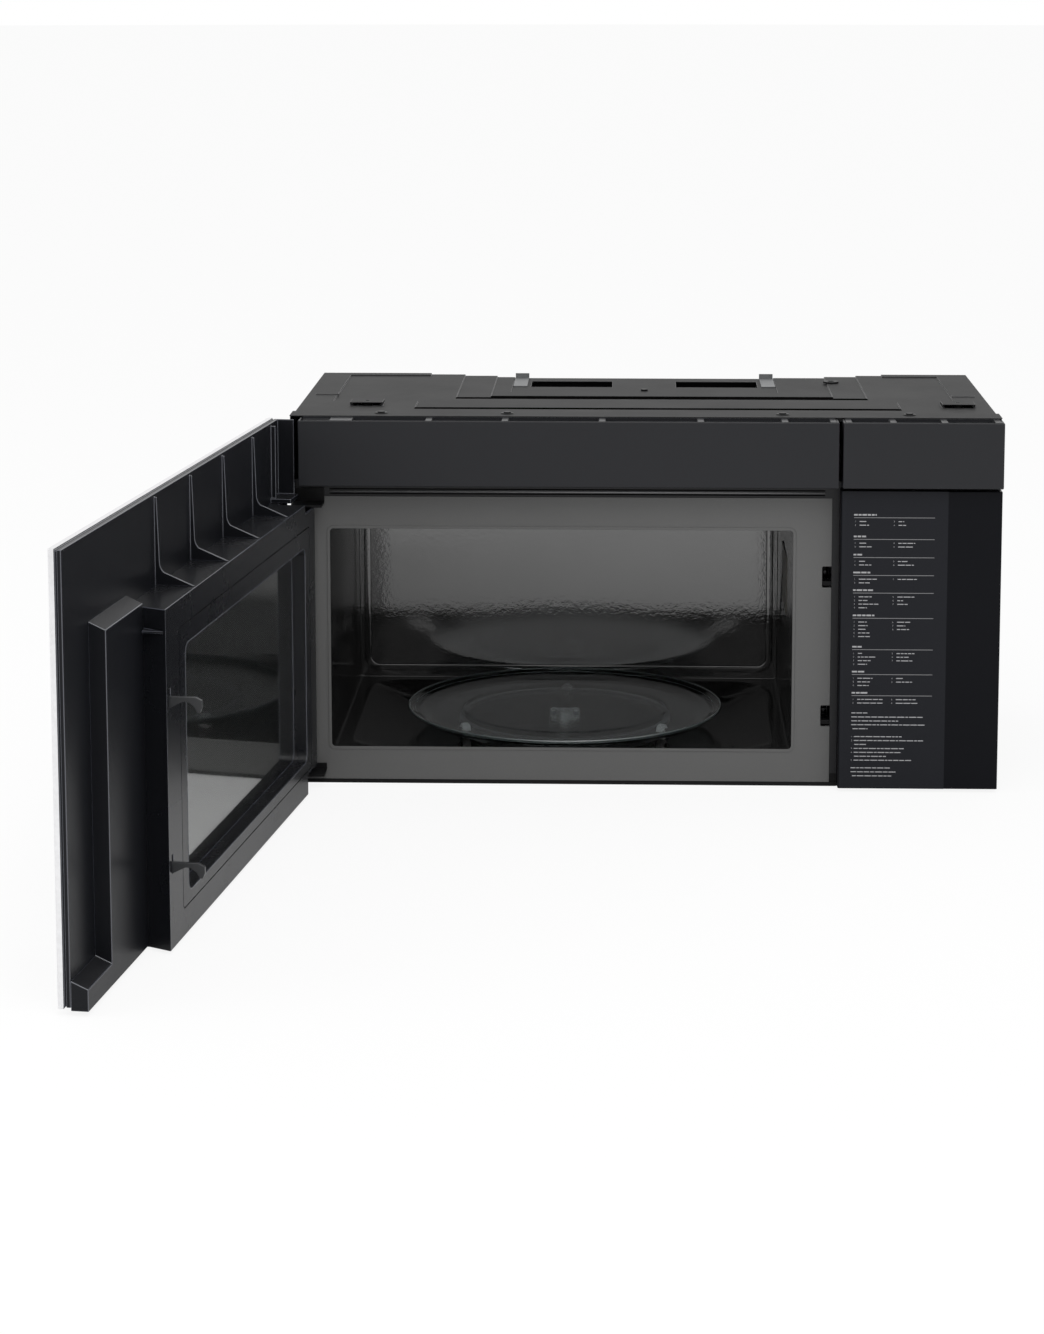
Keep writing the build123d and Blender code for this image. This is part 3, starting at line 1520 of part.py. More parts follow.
def blower_plate():
    """Recessed plate at the top's rear edge with the blower's two outlets."""
    x = (-plate_half_width, plate_half_width)
    z = (outlet_level - 2 * sheet, outlet_level - sheet)
    plate = block(x, (-plate_front, -sheet), z)
    for slot in outlet_slots():
        plate -= slot
    y = (-plate_front - outlet_front) / 2
    return plate - rod_z(0, y, (z[0] - 1, z[1] + 1), screw_radius / 2)


def outlet_brackets():
    """Two folded corner brackets that tie the outlet plate to the rear edge."""
    brackets = []
    level = outlet_level - sheet
    for side in (-1, 1):
        far = side * (plate_half_width - 8.5)
        near = far - side * bracket_width
        x = sorted((far, near))
        bracket = block(x, (-outlet_front, -2), (level, level + 1))
        bracket += block(x, (-3.2, -2), (level, level + 6))
        brackets.append(bracket)
    return Compound(children=brackets)


places = switch_places()

nodes = {
    "outer_wrap": outer_wrap(),
    "rear_panel": rear_panel(),
    "base_pan": base_pan(),
    "inner_deck": inner_deck(),
    "cavity_shell": cavity_shell(),
    "front_plate": front_plate(),
    "gap_strip": gap_strip(),
    "guide_panel": guide_panel(),
    "guide_label": guide_label(),
    "vent_band_left": vent_band(split_left),
    "vent_band_right": vent_band(split_right),
    "vent_comb": vent_comb(),
    "charcoal_filter": charcoal_filter(),
    "hinge_upper": hinge_bracket(upper_hinge_height, -1),
    "hinge_lower": hinge_bracket(lower_hinge_height, 1),
    "turntable_motor": turntable_motor(),
    "turntable_coupler": turntable_coupler(),
    "glass_tray": glass_tray(),
    "roller_ring": roller_ring(),
    "waveguide_cover": waveguide_cover(),
    "waveguide": waveguide(),
    "magnetron": magnetron(),
    "hv_transformer": hv_transformer(),
    "hv_capacitor": hv_capacitor(),
    "fan_housing": fan_housing(),
    "fan_wheel": fan_wheel(),
    "power_board": power_board(),
    "latch_board": latch_board(),
    "interlock_switches": interlock_switches(),
    "lamp_bulbs": lamp_bulbs(),
    "blower_housing": blower_housing(),
    "blower_motor": blower_motor(),
    "blower_rotor": blower_rotor(),
    "blower_plate": blower_plate(),
    "outlet_brackets": outlet_brackets(),
    "top_screws": top_screws(),
    "cord_bushing": cord_bushing(),
    "grease_filter_left": grease_filter(-1),
    "grease_filter_right": grease_filter(1),
    "lamp_cover_left": lamp_cover(-1),
    "lamp_cover_right": lamp_cover(1),
    "door_skin": door_skin(),
    "door_window": door_window(),
    "touch_panel": touch_panel(),
    "door_cover": door_cover(),
    "control_cover": control_cover(),
    "display_board": display_board(),
    "door_frame": door_frame(),
    "choke_cover": choke_cover(),
    "door_mesh": door_mesh(),
    "door_inner_glass": door_inner_glass(),
    "hinge_bushes": hinge_bushes(),
    "latch_lever": latch_lever(),
    "latch_spring": latch_spring(),
}
for number in range(3):
    nodes[f"roller_{number + 1}"] = roller(number)
for place in places:
    nodes[f"plunger_{place[0]}"] = plunger(place)

os.makedirs("parts", exist_ok=True)
for name, part in nodes.items():
    export_step(part, f"parts/{name}.step")
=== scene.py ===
import json
import math
import random

import bmesh
import bpy
from bpy.props import FloatProperty, FloatVectorProperty, IntProperty, PointerProperty
from mathutils import Matrix, Vector


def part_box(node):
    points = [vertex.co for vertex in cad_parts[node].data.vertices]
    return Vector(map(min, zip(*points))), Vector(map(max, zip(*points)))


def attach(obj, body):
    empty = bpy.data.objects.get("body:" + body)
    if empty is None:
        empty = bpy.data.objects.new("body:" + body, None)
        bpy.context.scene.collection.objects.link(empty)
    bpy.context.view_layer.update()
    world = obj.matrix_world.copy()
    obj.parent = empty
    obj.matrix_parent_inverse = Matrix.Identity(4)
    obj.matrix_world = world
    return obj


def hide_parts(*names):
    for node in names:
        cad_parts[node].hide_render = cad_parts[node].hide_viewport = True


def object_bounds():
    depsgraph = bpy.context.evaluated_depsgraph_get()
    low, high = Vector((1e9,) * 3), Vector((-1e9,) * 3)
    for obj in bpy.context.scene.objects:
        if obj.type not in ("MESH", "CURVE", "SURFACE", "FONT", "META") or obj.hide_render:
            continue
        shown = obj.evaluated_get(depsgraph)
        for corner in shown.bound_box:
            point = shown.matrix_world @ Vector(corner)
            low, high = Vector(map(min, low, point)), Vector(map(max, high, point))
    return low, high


bl_info = {
    "name": "Over the range microwave",
    "version": (1, 0, 0),
    "blender": (4, 5, 0),
    "location": "3D View > Sidebar > Microwave",
    "description": "Finishes and fine detail of a wall-hung microwave oven with its door open",
    "category": "Object",
}

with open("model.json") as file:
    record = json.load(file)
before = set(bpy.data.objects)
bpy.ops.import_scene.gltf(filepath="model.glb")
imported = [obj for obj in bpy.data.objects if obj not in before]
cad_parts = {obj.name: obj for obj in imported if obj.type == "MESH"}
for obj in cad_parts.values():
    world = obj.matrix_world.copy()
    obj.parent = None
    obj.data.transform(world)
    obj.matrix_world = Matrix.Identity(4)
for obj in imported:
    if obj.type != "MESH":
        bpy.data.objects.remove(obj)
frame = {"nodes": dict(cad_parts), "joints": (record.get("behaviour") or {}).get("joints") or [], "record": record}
CAD_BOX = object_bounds()
NODES = frame["nodes"]
BODIES = frame["record"]["behaviour"]["bodies"]
BODY_OF = {node: body for body, members in BODIES.items() for node in members}
JOINTS = {joint["name"]: joint for joint in frame["joints"]}
HINGE = Vector(JOINTS["door_hinge"]["pos_m"])
DOOR_ANGLE = math.radians(JOINTS["door_hinge"]["range_deg"][1])
SWING = Matrix.Translation(HINGE) @ Matrix.Rotation(-DOOR_ANGLE, 4, "Z") @ Matrix.Translation(-HINGE)


# Sizes and colours


def length(name, text, default):
    return FloatProperty(name=name, description=text, default=default, min=0, unit="LENGTH", precision=5)


def colour(name, text, default):
    return FloatVectorProperty(name=name, description=text, default=default, min=0, max=1, subtype="COLOR")


def strength(name, text, default):
    return FloatProperty(name=name, description=text, default=default, min=0)


class MICROWAVE_PG_sizes(bpy.types.PropertyGroup):
    moulded_edge: length("Moulded edge", "Edge radius of the vent bands", 0.0012)
    cover_edge: length("Cover edge", "Edge radius of the mouldings on the door's inner side", 0.00072)
    fine_edge: length("Fine edge", "Edge radius of the guide panel and the small mouldings", 0.0006)
    sheet_edge: length("Sheet edge", "Edge radius of the folded sheet metal", 0.00035)
    screw_radius: length("Screw head radius", "Radius of the pan screw heads", 0.0042)
    screw_height: length("Screw head height", "Height of the pan screw heads", 0.0019)
    screen_pitch: length("Screen pitch", "Spacing of the holes in the door's screen", 0.0021)
    screen_hole: length("Screen hole", "Radius of the holes in the door's screen", 0.0007)
    rule_height: length("Rule height", "Height of the printed rules on the guide label", 0.0007)
    numeral_height: length("Numeral height", "Height of the printed numerals on the guide label", 0.0016)
    key_height: length("Key height", "Height of the numerals on the touch panel", 0.0075)
    press_line: length("Press line", "Width of the shade in front of the top's nested steps", 0.013)
    bead_radius: length("Bead radius", "Radius of the bead along the gap strip", 0.0011)
    recess_bead: length("Recess bead", "Radius of the beads round the door's recess", 0.0006)
    rim_radius: length("Rim radius", "Radius of the tray's rolled rim", 0.0012)
    relief: length("Relief", "Height of the ribs and screws on the rear panel", 0.0006)


class MICROWAVE_PG_colours(bpy.types.PropertyGroup):
    wrap: colour("Wrap paint", "Paint of the outer wrap", (0.0095, 0.0095, 0.010))
    plate: colour("Front plate enamel", "Enamel round the oven's mouth", (0.098, 0.098, 0.097))
    cavity: colour("Oven enamel", "Enamel inside the oven", (0.15, 0.15, 0.15))
    band: colour("Vent band plastic", "Plastic of the vent band and comb", (0.016, 0.0165, 0.019))
    guide: colour("Guide panel plastic", "Plastic beside the guide label", (0.0045, 0.0048, 0.0065))
    label: colour("Guide label film", "Film of the guide label", (0.0135, 0.0142, 0.0175))
    ink: colour("Ink", "Printed rules and numerals", (0.36, 0.36, 0.37))
    cover: colour("Door mouldings", "Plastic of the door's inner side", (0.0075, 0.0080, 0.0100))
    skin: colour("Skin steel", "Brushed steel of the door", (0.80, 0.80, 0.81))
    zinc: colour("Zinc", "Plated brackets and screws", (0.50, 0.50, 0.49))
    galvanised: colour("Galvanised steel", "Bare sheets of the rear and the ducts", (0.42, 0.43, 0.44))
    natural: colour("Natural plastic", "Uncoloured moulded plastic", (0.60, 0.60, 0.57))


class MICROWAVE_PG_stage(bpy.types.PropertyGroup):
    floor: colour("Floor", "Colour of the floor", (0.90, 0.90, 0.90))
    key_power: strength("Key light", "Power of the soft light above the front", 60)
    side_power: strength("Side light", "Power of the soft light at the left", 25)
    sky: strength("Sky", "Strength of the even light from all round", 0.75)


def sizes():
    return bpy.context.scene.microwave_sizes


def colours():
    return bpy.context.scene.microwave_colours


# Shader parts


def feed(tree, socket, value):
    """Give a socket another socket's output or a plain value."""
    if isinstance(value, bpy.types.NodeSocket):
        tree.links.new(value, socket)
    else:
        socket.default_value = value


def put(tree, kind, inputs=None, **settings):
    """One shader node, with its settings, its plain values and its links."""
    placed = tree.nodes.new(f"ShaderNode{kind}")
    for key, value in settings.items():
        setattr(placed, key, value)
    for key, value in (inputs or {}).items():
        feed(tree, placed.inputs[key], value)
    return placed


def maths(tree, operation, *values):
    """The output of one sum, product or comparison."""
    placed = put(tree, "Math", operation=operation)
    for socket, value in zip(placed.inputs, values):
        feed(tree, socket, value)
    return placed.outputs[0]


def noise(tree, place, scale, detail, roughness=0.5):
    """The outputs of one noise pattern."""
    inputs = {"Vector": place, "Scale": scale, "Detail": detail, "Roughness": roughness}
    return put(tree, "TexNoise", inputs).outputs


def stirred(tree, place, pattern, reach):
    """The vector place, pushed about by a coloured pattern as far as reach."""
    inputs = {0: pattern, 1: (reach, reach, reach), 2: place}
    return put(tree, "VectorMath", inputs, operation="MULTIPLY_ADD").outputs[0]


def split(tree, vector):
    return put(tree, "SeparateXYZ", {"Vector": vector}).outputs


def effect(name, results, **numbers):
    """An empty shader group: a vector and numbers in, numbers out. Returns its tree, inputs and outputs."""
    tree = bpy.data.node_groups.new(name, "ShaderNodeTree")
    tree.interface.new_socket(name="Vector", in_out="INPUT", socket_type="NodeSocketVector")
    for label, value in numbers.items():
        socket = tree.interface.new_socket(name=label, in_out="INPUT", socket_type="NodeSocketFloat")
        socket.default_value = value
    for label in results:
        tree.interface.new_socket(name=label, in_out="OUTPUT", socket_type="NodeSocketFloat")
    start = tree.nodes.new("NodeGroupInput")
    end = tree.nodes.new("NodeGroupOutput")
    return tree, start.outputs, end.inputs


def make_orange_peel():
    """Sprayed or baked coat: a fine rolling surface with a slow change of tone."""
    tree, given, result = effect("orange_peel", ("Height", "Tone"), Scale=900.0, Patches=6.0)
    place = given["Vector"]
    finer, finer_share = 2.7, 0.35
    coarse = noise(tree, place, given["Scale"], 2.0)["Fac"]
    fine = noise(tree, place, maths(tree, "MULTIPLY", given["Scale"], finer), 1.0)["Fac"]
    tree.links.new(maths(tree, "MULTIPLY_ADD", fine, finer_share, coarse), result["Height"])
    tree.links.new(noise(tree, place, given["Patches"], 4.0)["Fac"], result["Tone"])


def make_flecks():
    """Small scattered specks, as in textured enamel and speckled glass."""
    tree, given, result = effect("flecks", ("Mask", "Height"), Scale=1800.0, Size=0.28)
    cells = put(tree, "TexVoronoi", {"Vector": given["Vector"], "Scale": given["Scale"]})
    inside = maths(tree, "LESS_THAN", cells.outputs["Distance"], given["Size"])
    tree.links.new(inside, result["Mask"])
    tree.links.new(cells.outputs["Distance"], result["Height"])


def make_brushed_lines():
    """Long fine lines along the vector's X."""
    tree, given, result = effect("brushed_lines", ("Height", "Tone"), Scale=2500.0, Stretch=0.012)
    broader = 0.08
    parts = split(tree, given["Vector"])
    along = maths(tree, "MULTIPLY", parts["X"], given["Stretch"])
    drawn = put(tree, "CombineXYZ", {"X": along, "Y": parts["Y"], "Z": parts["Z"]}).outputs[0]
    broad_scale = maths(tree, "MULTIPLY", given["Scale"], broader)
    tree.links.new(noise(tree, drawn, given["Scale"], 3.0)["Fac"], result["Height"])
    tree.links.new(noise(tree, drawn, broad_scale, 2.0)["Fac"], result["Tone"])


def make_handling():
    """Faint smears that change the sheen, as left by wiping."""
    tree, given, result = effect("handling", ("Roughness",), Scale=9.0, Base=0.4, Amount=0.12)
    bend_scale, bend_reach = 4.0, 0.12
    bend = noise(tree, given["Vector"], bend_scale, 1.0)["Color"]
    moved = stirred(tree, given["Vector"], bend, bend_reach)
    smears = noise(tree, moved, given["Scale"], 6.0, 0.6)["Fac"]
    centred = maths(tree, "SUBTRACT", smears, 0.5)
    tree.links.new(maths(tree, "MULTIPLY_ADD", centred, given["Amount"], given["Base"]), result["Roughness"])


def make_settled_dust():
    """A thin pale film on faces that look up."""
    tree, given, result = effect("settled_dust", ("Mask",), Amount=0.1)
    powder_scale = 35.0
    facing = put(tree, "NewGeometry").outputs["Normal"]
    upward = maths(tree, "MAXIMUM", split(tree, facing)["Z"], 0.0)
    powder = noise(tree, given["Vector"], powder_scale, 8.0, 0.7)["Fac"]
    thick = maths(tree, "MULTIPLY", upward, powder)
    tree.links.new(maths(tree, "MULTIPLY", thick, given["Amount"]), result["Mask"])


def make_round_holes():
    """Staggered round holes in the vector's X and Y: 1 inside a hole."""
    tree, given, result = effect("round_holes", ("Mask",), Pitch=0.002, Radius=0.0007)
    positive = 1000.0  # whole steps that keep the pattern's coordinates above zero
    parts = split(tree, given["Vector"])
    row_pitch = maths(tree, "MULTIPLY", given["Pitch"], math.sqrt(3))
    masks = []
    for share in (0.0, 0.5):
        squares = []
        for axis, pitch in (("X", given["Pitch"]), ("Y", row_pitch)):
            steps = maths(tree, "DIVIDE", parts[axis], pitch)
            moved = maths(tree, "ADD", steps, share + positive)
            offset = maths(tree, "SUBTRACT", maths(tree, "FRACT", moved), 0.5)
            reach = maths(tree, "MULTIPLY", offset, pitch)
            squares.append(maths(tree, "MULTIPLY", reach, reach))
        distance = maths(tree, "SQRT", maths(tree, "ADD", *squares))
        masks.append(maths(tree, "LESS_THAN", distance, given["Radius"]))
    tree.links.new(maths(tree, "MAXIMUM", *masks), result["Mask"])


def make_spangle():
    """Crystal patches of hot-dip zinc."""
    tree, given, result = effect("spangle", ("Tone",), Scale=150.0)
    stir_scale, stir_reach = 60.0, 0.012
    stir = noise(tree, given["Vector"], stir_scale, 2.0)["Color"]
    moved = stirred(tree, given["Vector"], stir, stir_reach)
    cells = put(tree, "TexVoronoi", {"Vector": moved, "Scale": given["Scale"]})
    tone = put(tree, "SeparateColor", {"Color": cells.outputs["Color"]})
    tree.links.new(tone.outputs["Red"], result["Tone"])


def use(tree, name, place, **values):
    """Place a shader group in a material. Returns its output sockets."""
    return put(tree, "Group", {"Vector": place, **values}, node_tree=bpy.data.node_groups[name]).outputs


def blank(name):
    """A new material, its tree and the object's coordinates."""
    material = bpy.data.materials.new(name)
    material.use_nodes = True
    tree = material.node_tree
    return material, tree, put(tree, "TexCoord").outputs["Object"]


def scaled(base, share):
    """A colour made darker or brighter."""
    return [part * share for part in base]


def toned(tree, base, share, tone):
    """base, darker and lighter by share as tone goes from 0 to 1."""
    low = [max(0.0, part * (1 - share)) for part in base]
    high = [min(1.0, part * (1 + share)) for part in base]
    return layered(tree, low, high, tone)


def layered(tree, under, over, mask):
    """The colour over, laid on under where mask is 1."""
    blend = put(tree, "Mix", data_type="RGBA")
    feed(tree, blend.inputs["Factor"], mask)
    for label, value in (("A", under), ("B", over)):
        plain = not isinstance(value, bpy.types.NodeSocket)
        feed(tree, blend.inputs[label], (*value, 1.0) if plain else value)
    return blend.outputs["Result"]


def wiped(tree, place, base, amount, scale=9.0):
    """The roughness base, with wiping marks that change it by amount."""
    return use(tree, "handling", place, Base=base, Amount=amount, Scale=scale)["Roughness"]


SOCKETS = {
    "colour": "Base Color",
    "roughness": "Roughness",
    "metallic": "Metallic",
    "gloss": "Specular IOR Level",
    "gloss_tint": "Specular Tint",
    "see_through": "Transmission Weight",
    "refraction": "IOR",
    "coat": "Coat Weight",
    "coat_roughness": "Coat Roughness",
    "brushing": "Anisotropic",
}


def surface(material, height, strength, distance, **values):
    """Feed a material's shader, its bump and the sockets that SOCKETS names, and return the material."""
    tree = material.node_tree
    shader = tree.nodes["Principled BSDF"]
    bump = put(tree, "Bump", {"Height": height, "Strength": strength, "Distance": distance})
    tree.links.new(bump.outputs["Normal"], shader.inputs["Normal"])
    for key, value in values.items():
        feed(tree, shader.inputs[SOCKETS[key]], value)
    return material


# Finishes

DUST = (0.42, 0.41, 0.39)
FROST_RADIUS = 0.120  # of the frosted middle of the tray
FROST_FADE = 0.002
TRAY_TINT = (0.62, 0.66, 0.67)
SCREEN_ENAMEL = (0.018, 0.018, 0.019)
SCREEN_HOLE_SHADE = (0.001, 0.001, 0.001)
FOIL = (0.55, 0.55, 0.56)
FOIL_SHADE = (0.03, 0.03, 0.03)


def coated(
    name, base, roughness, grain=1500, depth=0.00002, tone=0.08, smear=0.1, dust=0.0, metallic=0.0, gloss=0.5
):
    """Paint, enamel or moulded plastic: a fine surface, slow tone, wiping marks and a little dust."""
    material, tree, place = blank(name)
    peel = use(tree, "orange_peel", place, Scale=grain)
    body = toned(tree, base, tone, peel["Tone"])
    if dust:
        film = use(tree, "settled_dust", place, Amount=dust)
        body = layered(tree, body, DUST, film["Mask"])
    rough = wiped(tree, place, roughness, smear)
    return surface(
        material, peel["Height"], 0.5, depth, colour=body, roughness=rough, metallic=metallic, gloss=gloss
    )


def speckled(tree, place, base, peel, tone, specks, size, bright, amount):
    """An enamel's colour with fine pale specks."""
    pale = use(tree, "flecks", place, Scale=specks, Size=size)
    body = toned(tree, base, tone, peel["Tone"])
    return layered(tree, body, scaled(base, bright), maths(tree, "MULTIPLY", pale["Mask"], amount))


def plate_enamel():
    """Textured grey enamel of the front plate."""
    material, tree, place = blank("front_plate_enamel")
    peel = use(tree, "orange_peel", place, Scale=1400.0)
    body = speckled(tree, place, colours().plate, peel, 0.10, 1500.0, 0.22, 1.7, 0.5)
    rough = wiped(tree, place, 0.52, 0.08)
    return surface(material, peel["Height"], 0.6, 0.00008, colour=body, roughness=rough)


def oven_enamel():
    """Dark glossy enamel fired on the cavity's sheets, with its orange peel."""
    material, tree, place = blank("oven_enamel")
    peel = use(tree, "orange_peel", place, Scale=220.0)
    body = speckled(tree, place, colours().cavity, peel, 0.08, 900.0, 0.2, 1.6, 0.4)
    return surface(
        material, peel["Height"], 0.5, 0.00014, colour=body, roughness=wiped(tree, place, 0.08, 0.04),
        metallic=0.9, gloss_tint=(0.25, 0.25, 0.25, 1.0),
    )


def brushed_steel(name, turn):
    """Brushed stainless sheet: the lines run along the vector's X once the pattern is turned about Z."""
    material, tree, place = blank(name)
    turned_place = put(tree, "Mapping", {"Vector": place, "Rotation": (0, 0, turn)}).outputs[0]
    lines = use(tree, "brushed_lines", turned_place)
    return surface(
        material, lines["Height"], 0.35, 0.00002, colour=toned(tree, colours().skin, 0.10, lines["Tone"]),
        roughness=wiped(tree, place, 0.30, 0.08), metallic=1.0, brushing=0.4,
    )


def bare_zinc(name, base, roughness=0.38):
    """Galvanised or plated steel with crystal patches."""
    material, tree, place = blank(name)
    patches = use(tree, "spangle", place)
    return surface(
        material, patches["Tone"], 0.15, 0.00002, colour=toned(tree, base, 0.07, patches["Tone"]),
        roughness=wiped(tree, place, roughness, 0.2, 20.0), metallic=0.85,
    )


def clear_glass(name, tint):
    """Float glass or a bulb's glass, with a faint ripple."""
    material, tree, place = blank(name)
    ripple = use(tree, "orange_peel", place, Scale=60.0)
    return surface(
        material, ripple["Height"], 0.15, 0.0001, colour=toned(tree, tint, 0.02, ripple["Tone"]),
        roughness=wiped(tree, place, 0.04, 0.04), see_through=1.0, refraction=1.5,
    )


def dark_glass(name, base, roughness=0.06):
    """Tinted or printed glass that lets no light through."""
    material, tree, place = blank(name)
    slow = use(tree, "orange_peel", place, Scale=40.0)
    return surface(
        material, slow["Height"], 0.05, 0.0001, colour=toned(tree, base, 0.05, slow["Tone"]),
        roughness=wiped(tree, place, roughness, 0.06), coat=0.5, coat_roughness=0.03,
    )


def perforated_screen():
    """Black enamelled sheet with a fine grid of round holes painted near black as shade, in the open door's plane.
    """
    material, tree, place = blank("perforated_screen")
    shut = put(tree, "Mapping", {"Vector": place, "Rotation": (0, 0, DOOR_ANGLE)}).outputs[0]
    parts = split(tree, shut)
    flat = put(tree, "CombineXYZ", {"X": parts["X"], "Y": parts["Z"], "Z": 0.0}).outputs[0]
    pitch, radius = sizes().screen_pitch, sizes().screen_hole
    holes = use(tree, "round_holes", flat, Pitch=pitch, Radius=radius)["Mask"]
    sheet_roughness, hole_adds = 0.3, 0.55
    # The holes are painted near black: painted shade where one looks through them.
    return surface(
        material, maths(tree, "SUBTRACT", 1.0, holes), 0.6, 0.0003,
        colour=layered(tree, SCREEN_ENAMEL, SCREEN_HOLE_SHADE, holes),
        roughness=maths(tree, "MULTIPLY_ADD", holes, hole_adds, sheet_roughness),
    )


def tray_glass():
    """Pressed clear glass, frosted and speckled in the middle."""
    material, tree, place = blank("tray_glass")
    middle = Vector(JOINTS["turntable_spin"]["pos_m"])
    centred = put(tree, "Mapping", {"Vector": place, "Location": (-middle.x, -middle.y, 0)})
    parts = split(tree, centred.outputs[0])
    squares = [maths(tree, "MULTIPLY", parts[axis], parts[axis]) for axis in ("X", "Y")]
    radius = maths(tree, "SQRT", maths(tree, "ADD", *squares))
    fade = {
        "Value": radius, "From Min": FROST_RADIUS - FROST_FADE, "From Max": FROST_RADIUS + FROST_FADE,
        "To Min": 1.0, "To Max": 0.0,
    }
    frosted = put(tree, "MapRange", fade).outputs[0]
    grains = use(tree, "flecks", place, Scale=420.0, Size=0.35)
    ripple = use(tree, "orange_peel", place, Scale=70.0)
    raised = maths(tree, "MULTIPLY", grains["Height"], frosted)
    rolling = maths(tree, "MULTIPLY", ripple["Height"], 0.1)
    clear_roughness, frost_adds = 0.01, 0.04
    return surface(
        material, maths(tree, "ADD", raised, rolling), 0.35, 0.0004,
        colour=toned(tree, TRAY_TINT, 0.02, ripple["Tone"]),
        roughness=maths(tree, "MULTIPLY_ADD", frosted, frost_adds, clear_roughness),
        see_through=1.0, refraction=1.16,
    )


def filter_mesh():
    """Expanded aluminium foil in several layers."""
    material, tree, place = blank("filter_mesh")
    strand_half, strands = 0.12, 260.0
    cells = put(tree, "TexVoronoi", {"Vector": place, "Scale": strands}, feature="DISTANCE_TO_EDGE")
    wire = maths(tree, "LESS_THAN", cells.outputs["Distance"], strand_half)
    return surface(
        material, wire, 0.6, 0.0004, colour=layered(tree, FOIL_SHADE, FOIL, wire),
        roughness=wiped(tree, place, 0.4, 0.2), metallic=wire,
    )


def printed(name, base, roughness=0.5, gloss=0.2):
    """A printed film or ink."""
    return coated(name, base, roughness, grain=2200, depth=0.00001, tone=0.04, smear=0.05, gloss=gloss)


def sheet_finishes(paint):
    """Painted, enamelled, brushed and zinc-coated sheet."""
    return {
        "wrap": coated(
            "wrap_paint", paint.wrap, 0.52, depth=0.00005, tone=0.10, smear=0.12, dust=0.02, gloss=0.1
        ),
        # The wrap paint three times lighter for its rounded edges: a painted highlight.
        "wrap_highlight": coated("wrap_painted_highlight", scaled(paint.wrap, 3), 0.35, depth=0.00005),
        "plate": plate_enamel(),
        "cavity": oven_enamel(),
        "skin": brushed_steel("skin_steel", DOOR_ANGLE),
        "zinc": bare_zinc("zinc_plate", paint.zinc, 0.3),
        "galvanised": bare_zinc("galvanised_sheet", paint.galvanised),
        "bracket": bare_zinc("bracket_zinc", scaled(paint.galvanised, 0.4), 0.45),
        "screen": perforated_screen(),
    }


def plastic_finishes(paint):
    """Moulded plastics: those in sight, lighter ones that paint highlights on edges and beads, dark ones that
    paint shade, and those inside.
    """
    shade, gap, bead = (0.003, 0.003, 0.003), (0.011, 0.011, 0.0125), (0.16, 0.16, 0.165)
    trim, white, black = (0.045, 0.046, 0.05), (0.72, 0.72, 0.71), (0.004, 0.004, 0.0045)
    lever, lens = (0.020, 0.021, 0.023), (0.62, 0.63, 0.62)
    return {
        "band": coated(
            "band_plastic", paint.band, 0.36, grain=2600, tone=0.05, smear=0.08, dust=0.03, gloss=0.22
        ),
        "guide": coated("guide_plastic", paint.guide, 0.34, grain=2600, tone=0.06, smear=0.08, gloss=0.08),
        "cover": coated(
            "door_plastic", paint.cover, 0.33, grain=1700, depth=0.00004, smear=0.14, dust=0.03, gloss=0.14
        ),
        # Door plastic seven times lighter and glossier, for rounded edges and beads: a painted highlight.
        "cover_edge": coated(
            "door_plastic_painted_highlight", scaled(paint.cover, 7), 0.25, grain=1700, depth=0.00004, gloss=0.9
        ),
        "choke": coated(
            "choke_plastic", paint.cover, 0.27, grain=1700, depth=0.00003, smear=0.12, dust=0.02, gloss=0.3
        ),
        # A pale glossy colour for the bead along the gap: a painted highlight.
        "bead": coated("bead_painted_highlight", bead, 0.3, gloss=0.8),
        "shade": coated("shade_line", shade, 0.95, gloss=0.0),
        # A real strip, coloured near black as painted shade of the gap under the vent band.
        "gap": coated("gap_plastic_painted_shade", gap, 0.4, tone=0.06, smear=0.08, gloss=0.3),
        "trim": coated("trim_plastic", trim, 0.3, tone=0.05, smear=0.06, gloss=0.6),
        "lever": coated("lever_plastic", lever, 0.3, tone=0.06, smear=0.08),
        "black": coated("black_plastic", black, 0.42, depth=0.00003, smear=0.12, gloss=0.15),
        "white": coated("white_plastic", white, 0.34, grain=1200, tone=0.04, smear=0.08),
        "natural": coated("natural_plastic", paint.natural, 0.38, grain=1200, depth=0.00003, tone=0.05),
        "lens": coated("frosted_lens", lens, 0.3, grain=240, depth=0.0002, tone=0.04),
    }


def print_finishes(paint):
    """The label's film, the inks, and a pale paint that stands in for the display's glow."""
    return {
        "label": printed("label_film", paint.label, 0.30, 0.1),
        "rule": printed("rule_ink", scaled(paint.ink, 0.55)),
        "ink": printed("print_ink", paint.ink),
        # Pale bluish paint for the clock's digits: a painted glow of a lit display.
        "glow": printed("display_painted_glow", (0.30, 0.33, 0.35), 0.4),
    }


def glass_finishes():
    """Clear, tinted and pressed glass."""
    rim = (0.10, 0.115, 0.115)
    return {
        "glass": clear_glass("clear_glass", (0.92, 0.94, 0.93)),
        "window": dark_glass("tinted_glass", (0.006, 0.006, 0.007)),
        "touch": dark_glass("touch_glass", (0.004, 0.004, 0.005), 0.08),
        "tray": tray_glass(),
        # Opaque pale grey for the tray's rim rings: a painted highlight of the clear glass's rim.
        "rim": coated("tray_rim_painted_highlight", rim, 0.12, grain=300, tone=0.04, smear=0.05, gloss=1.0),
    }


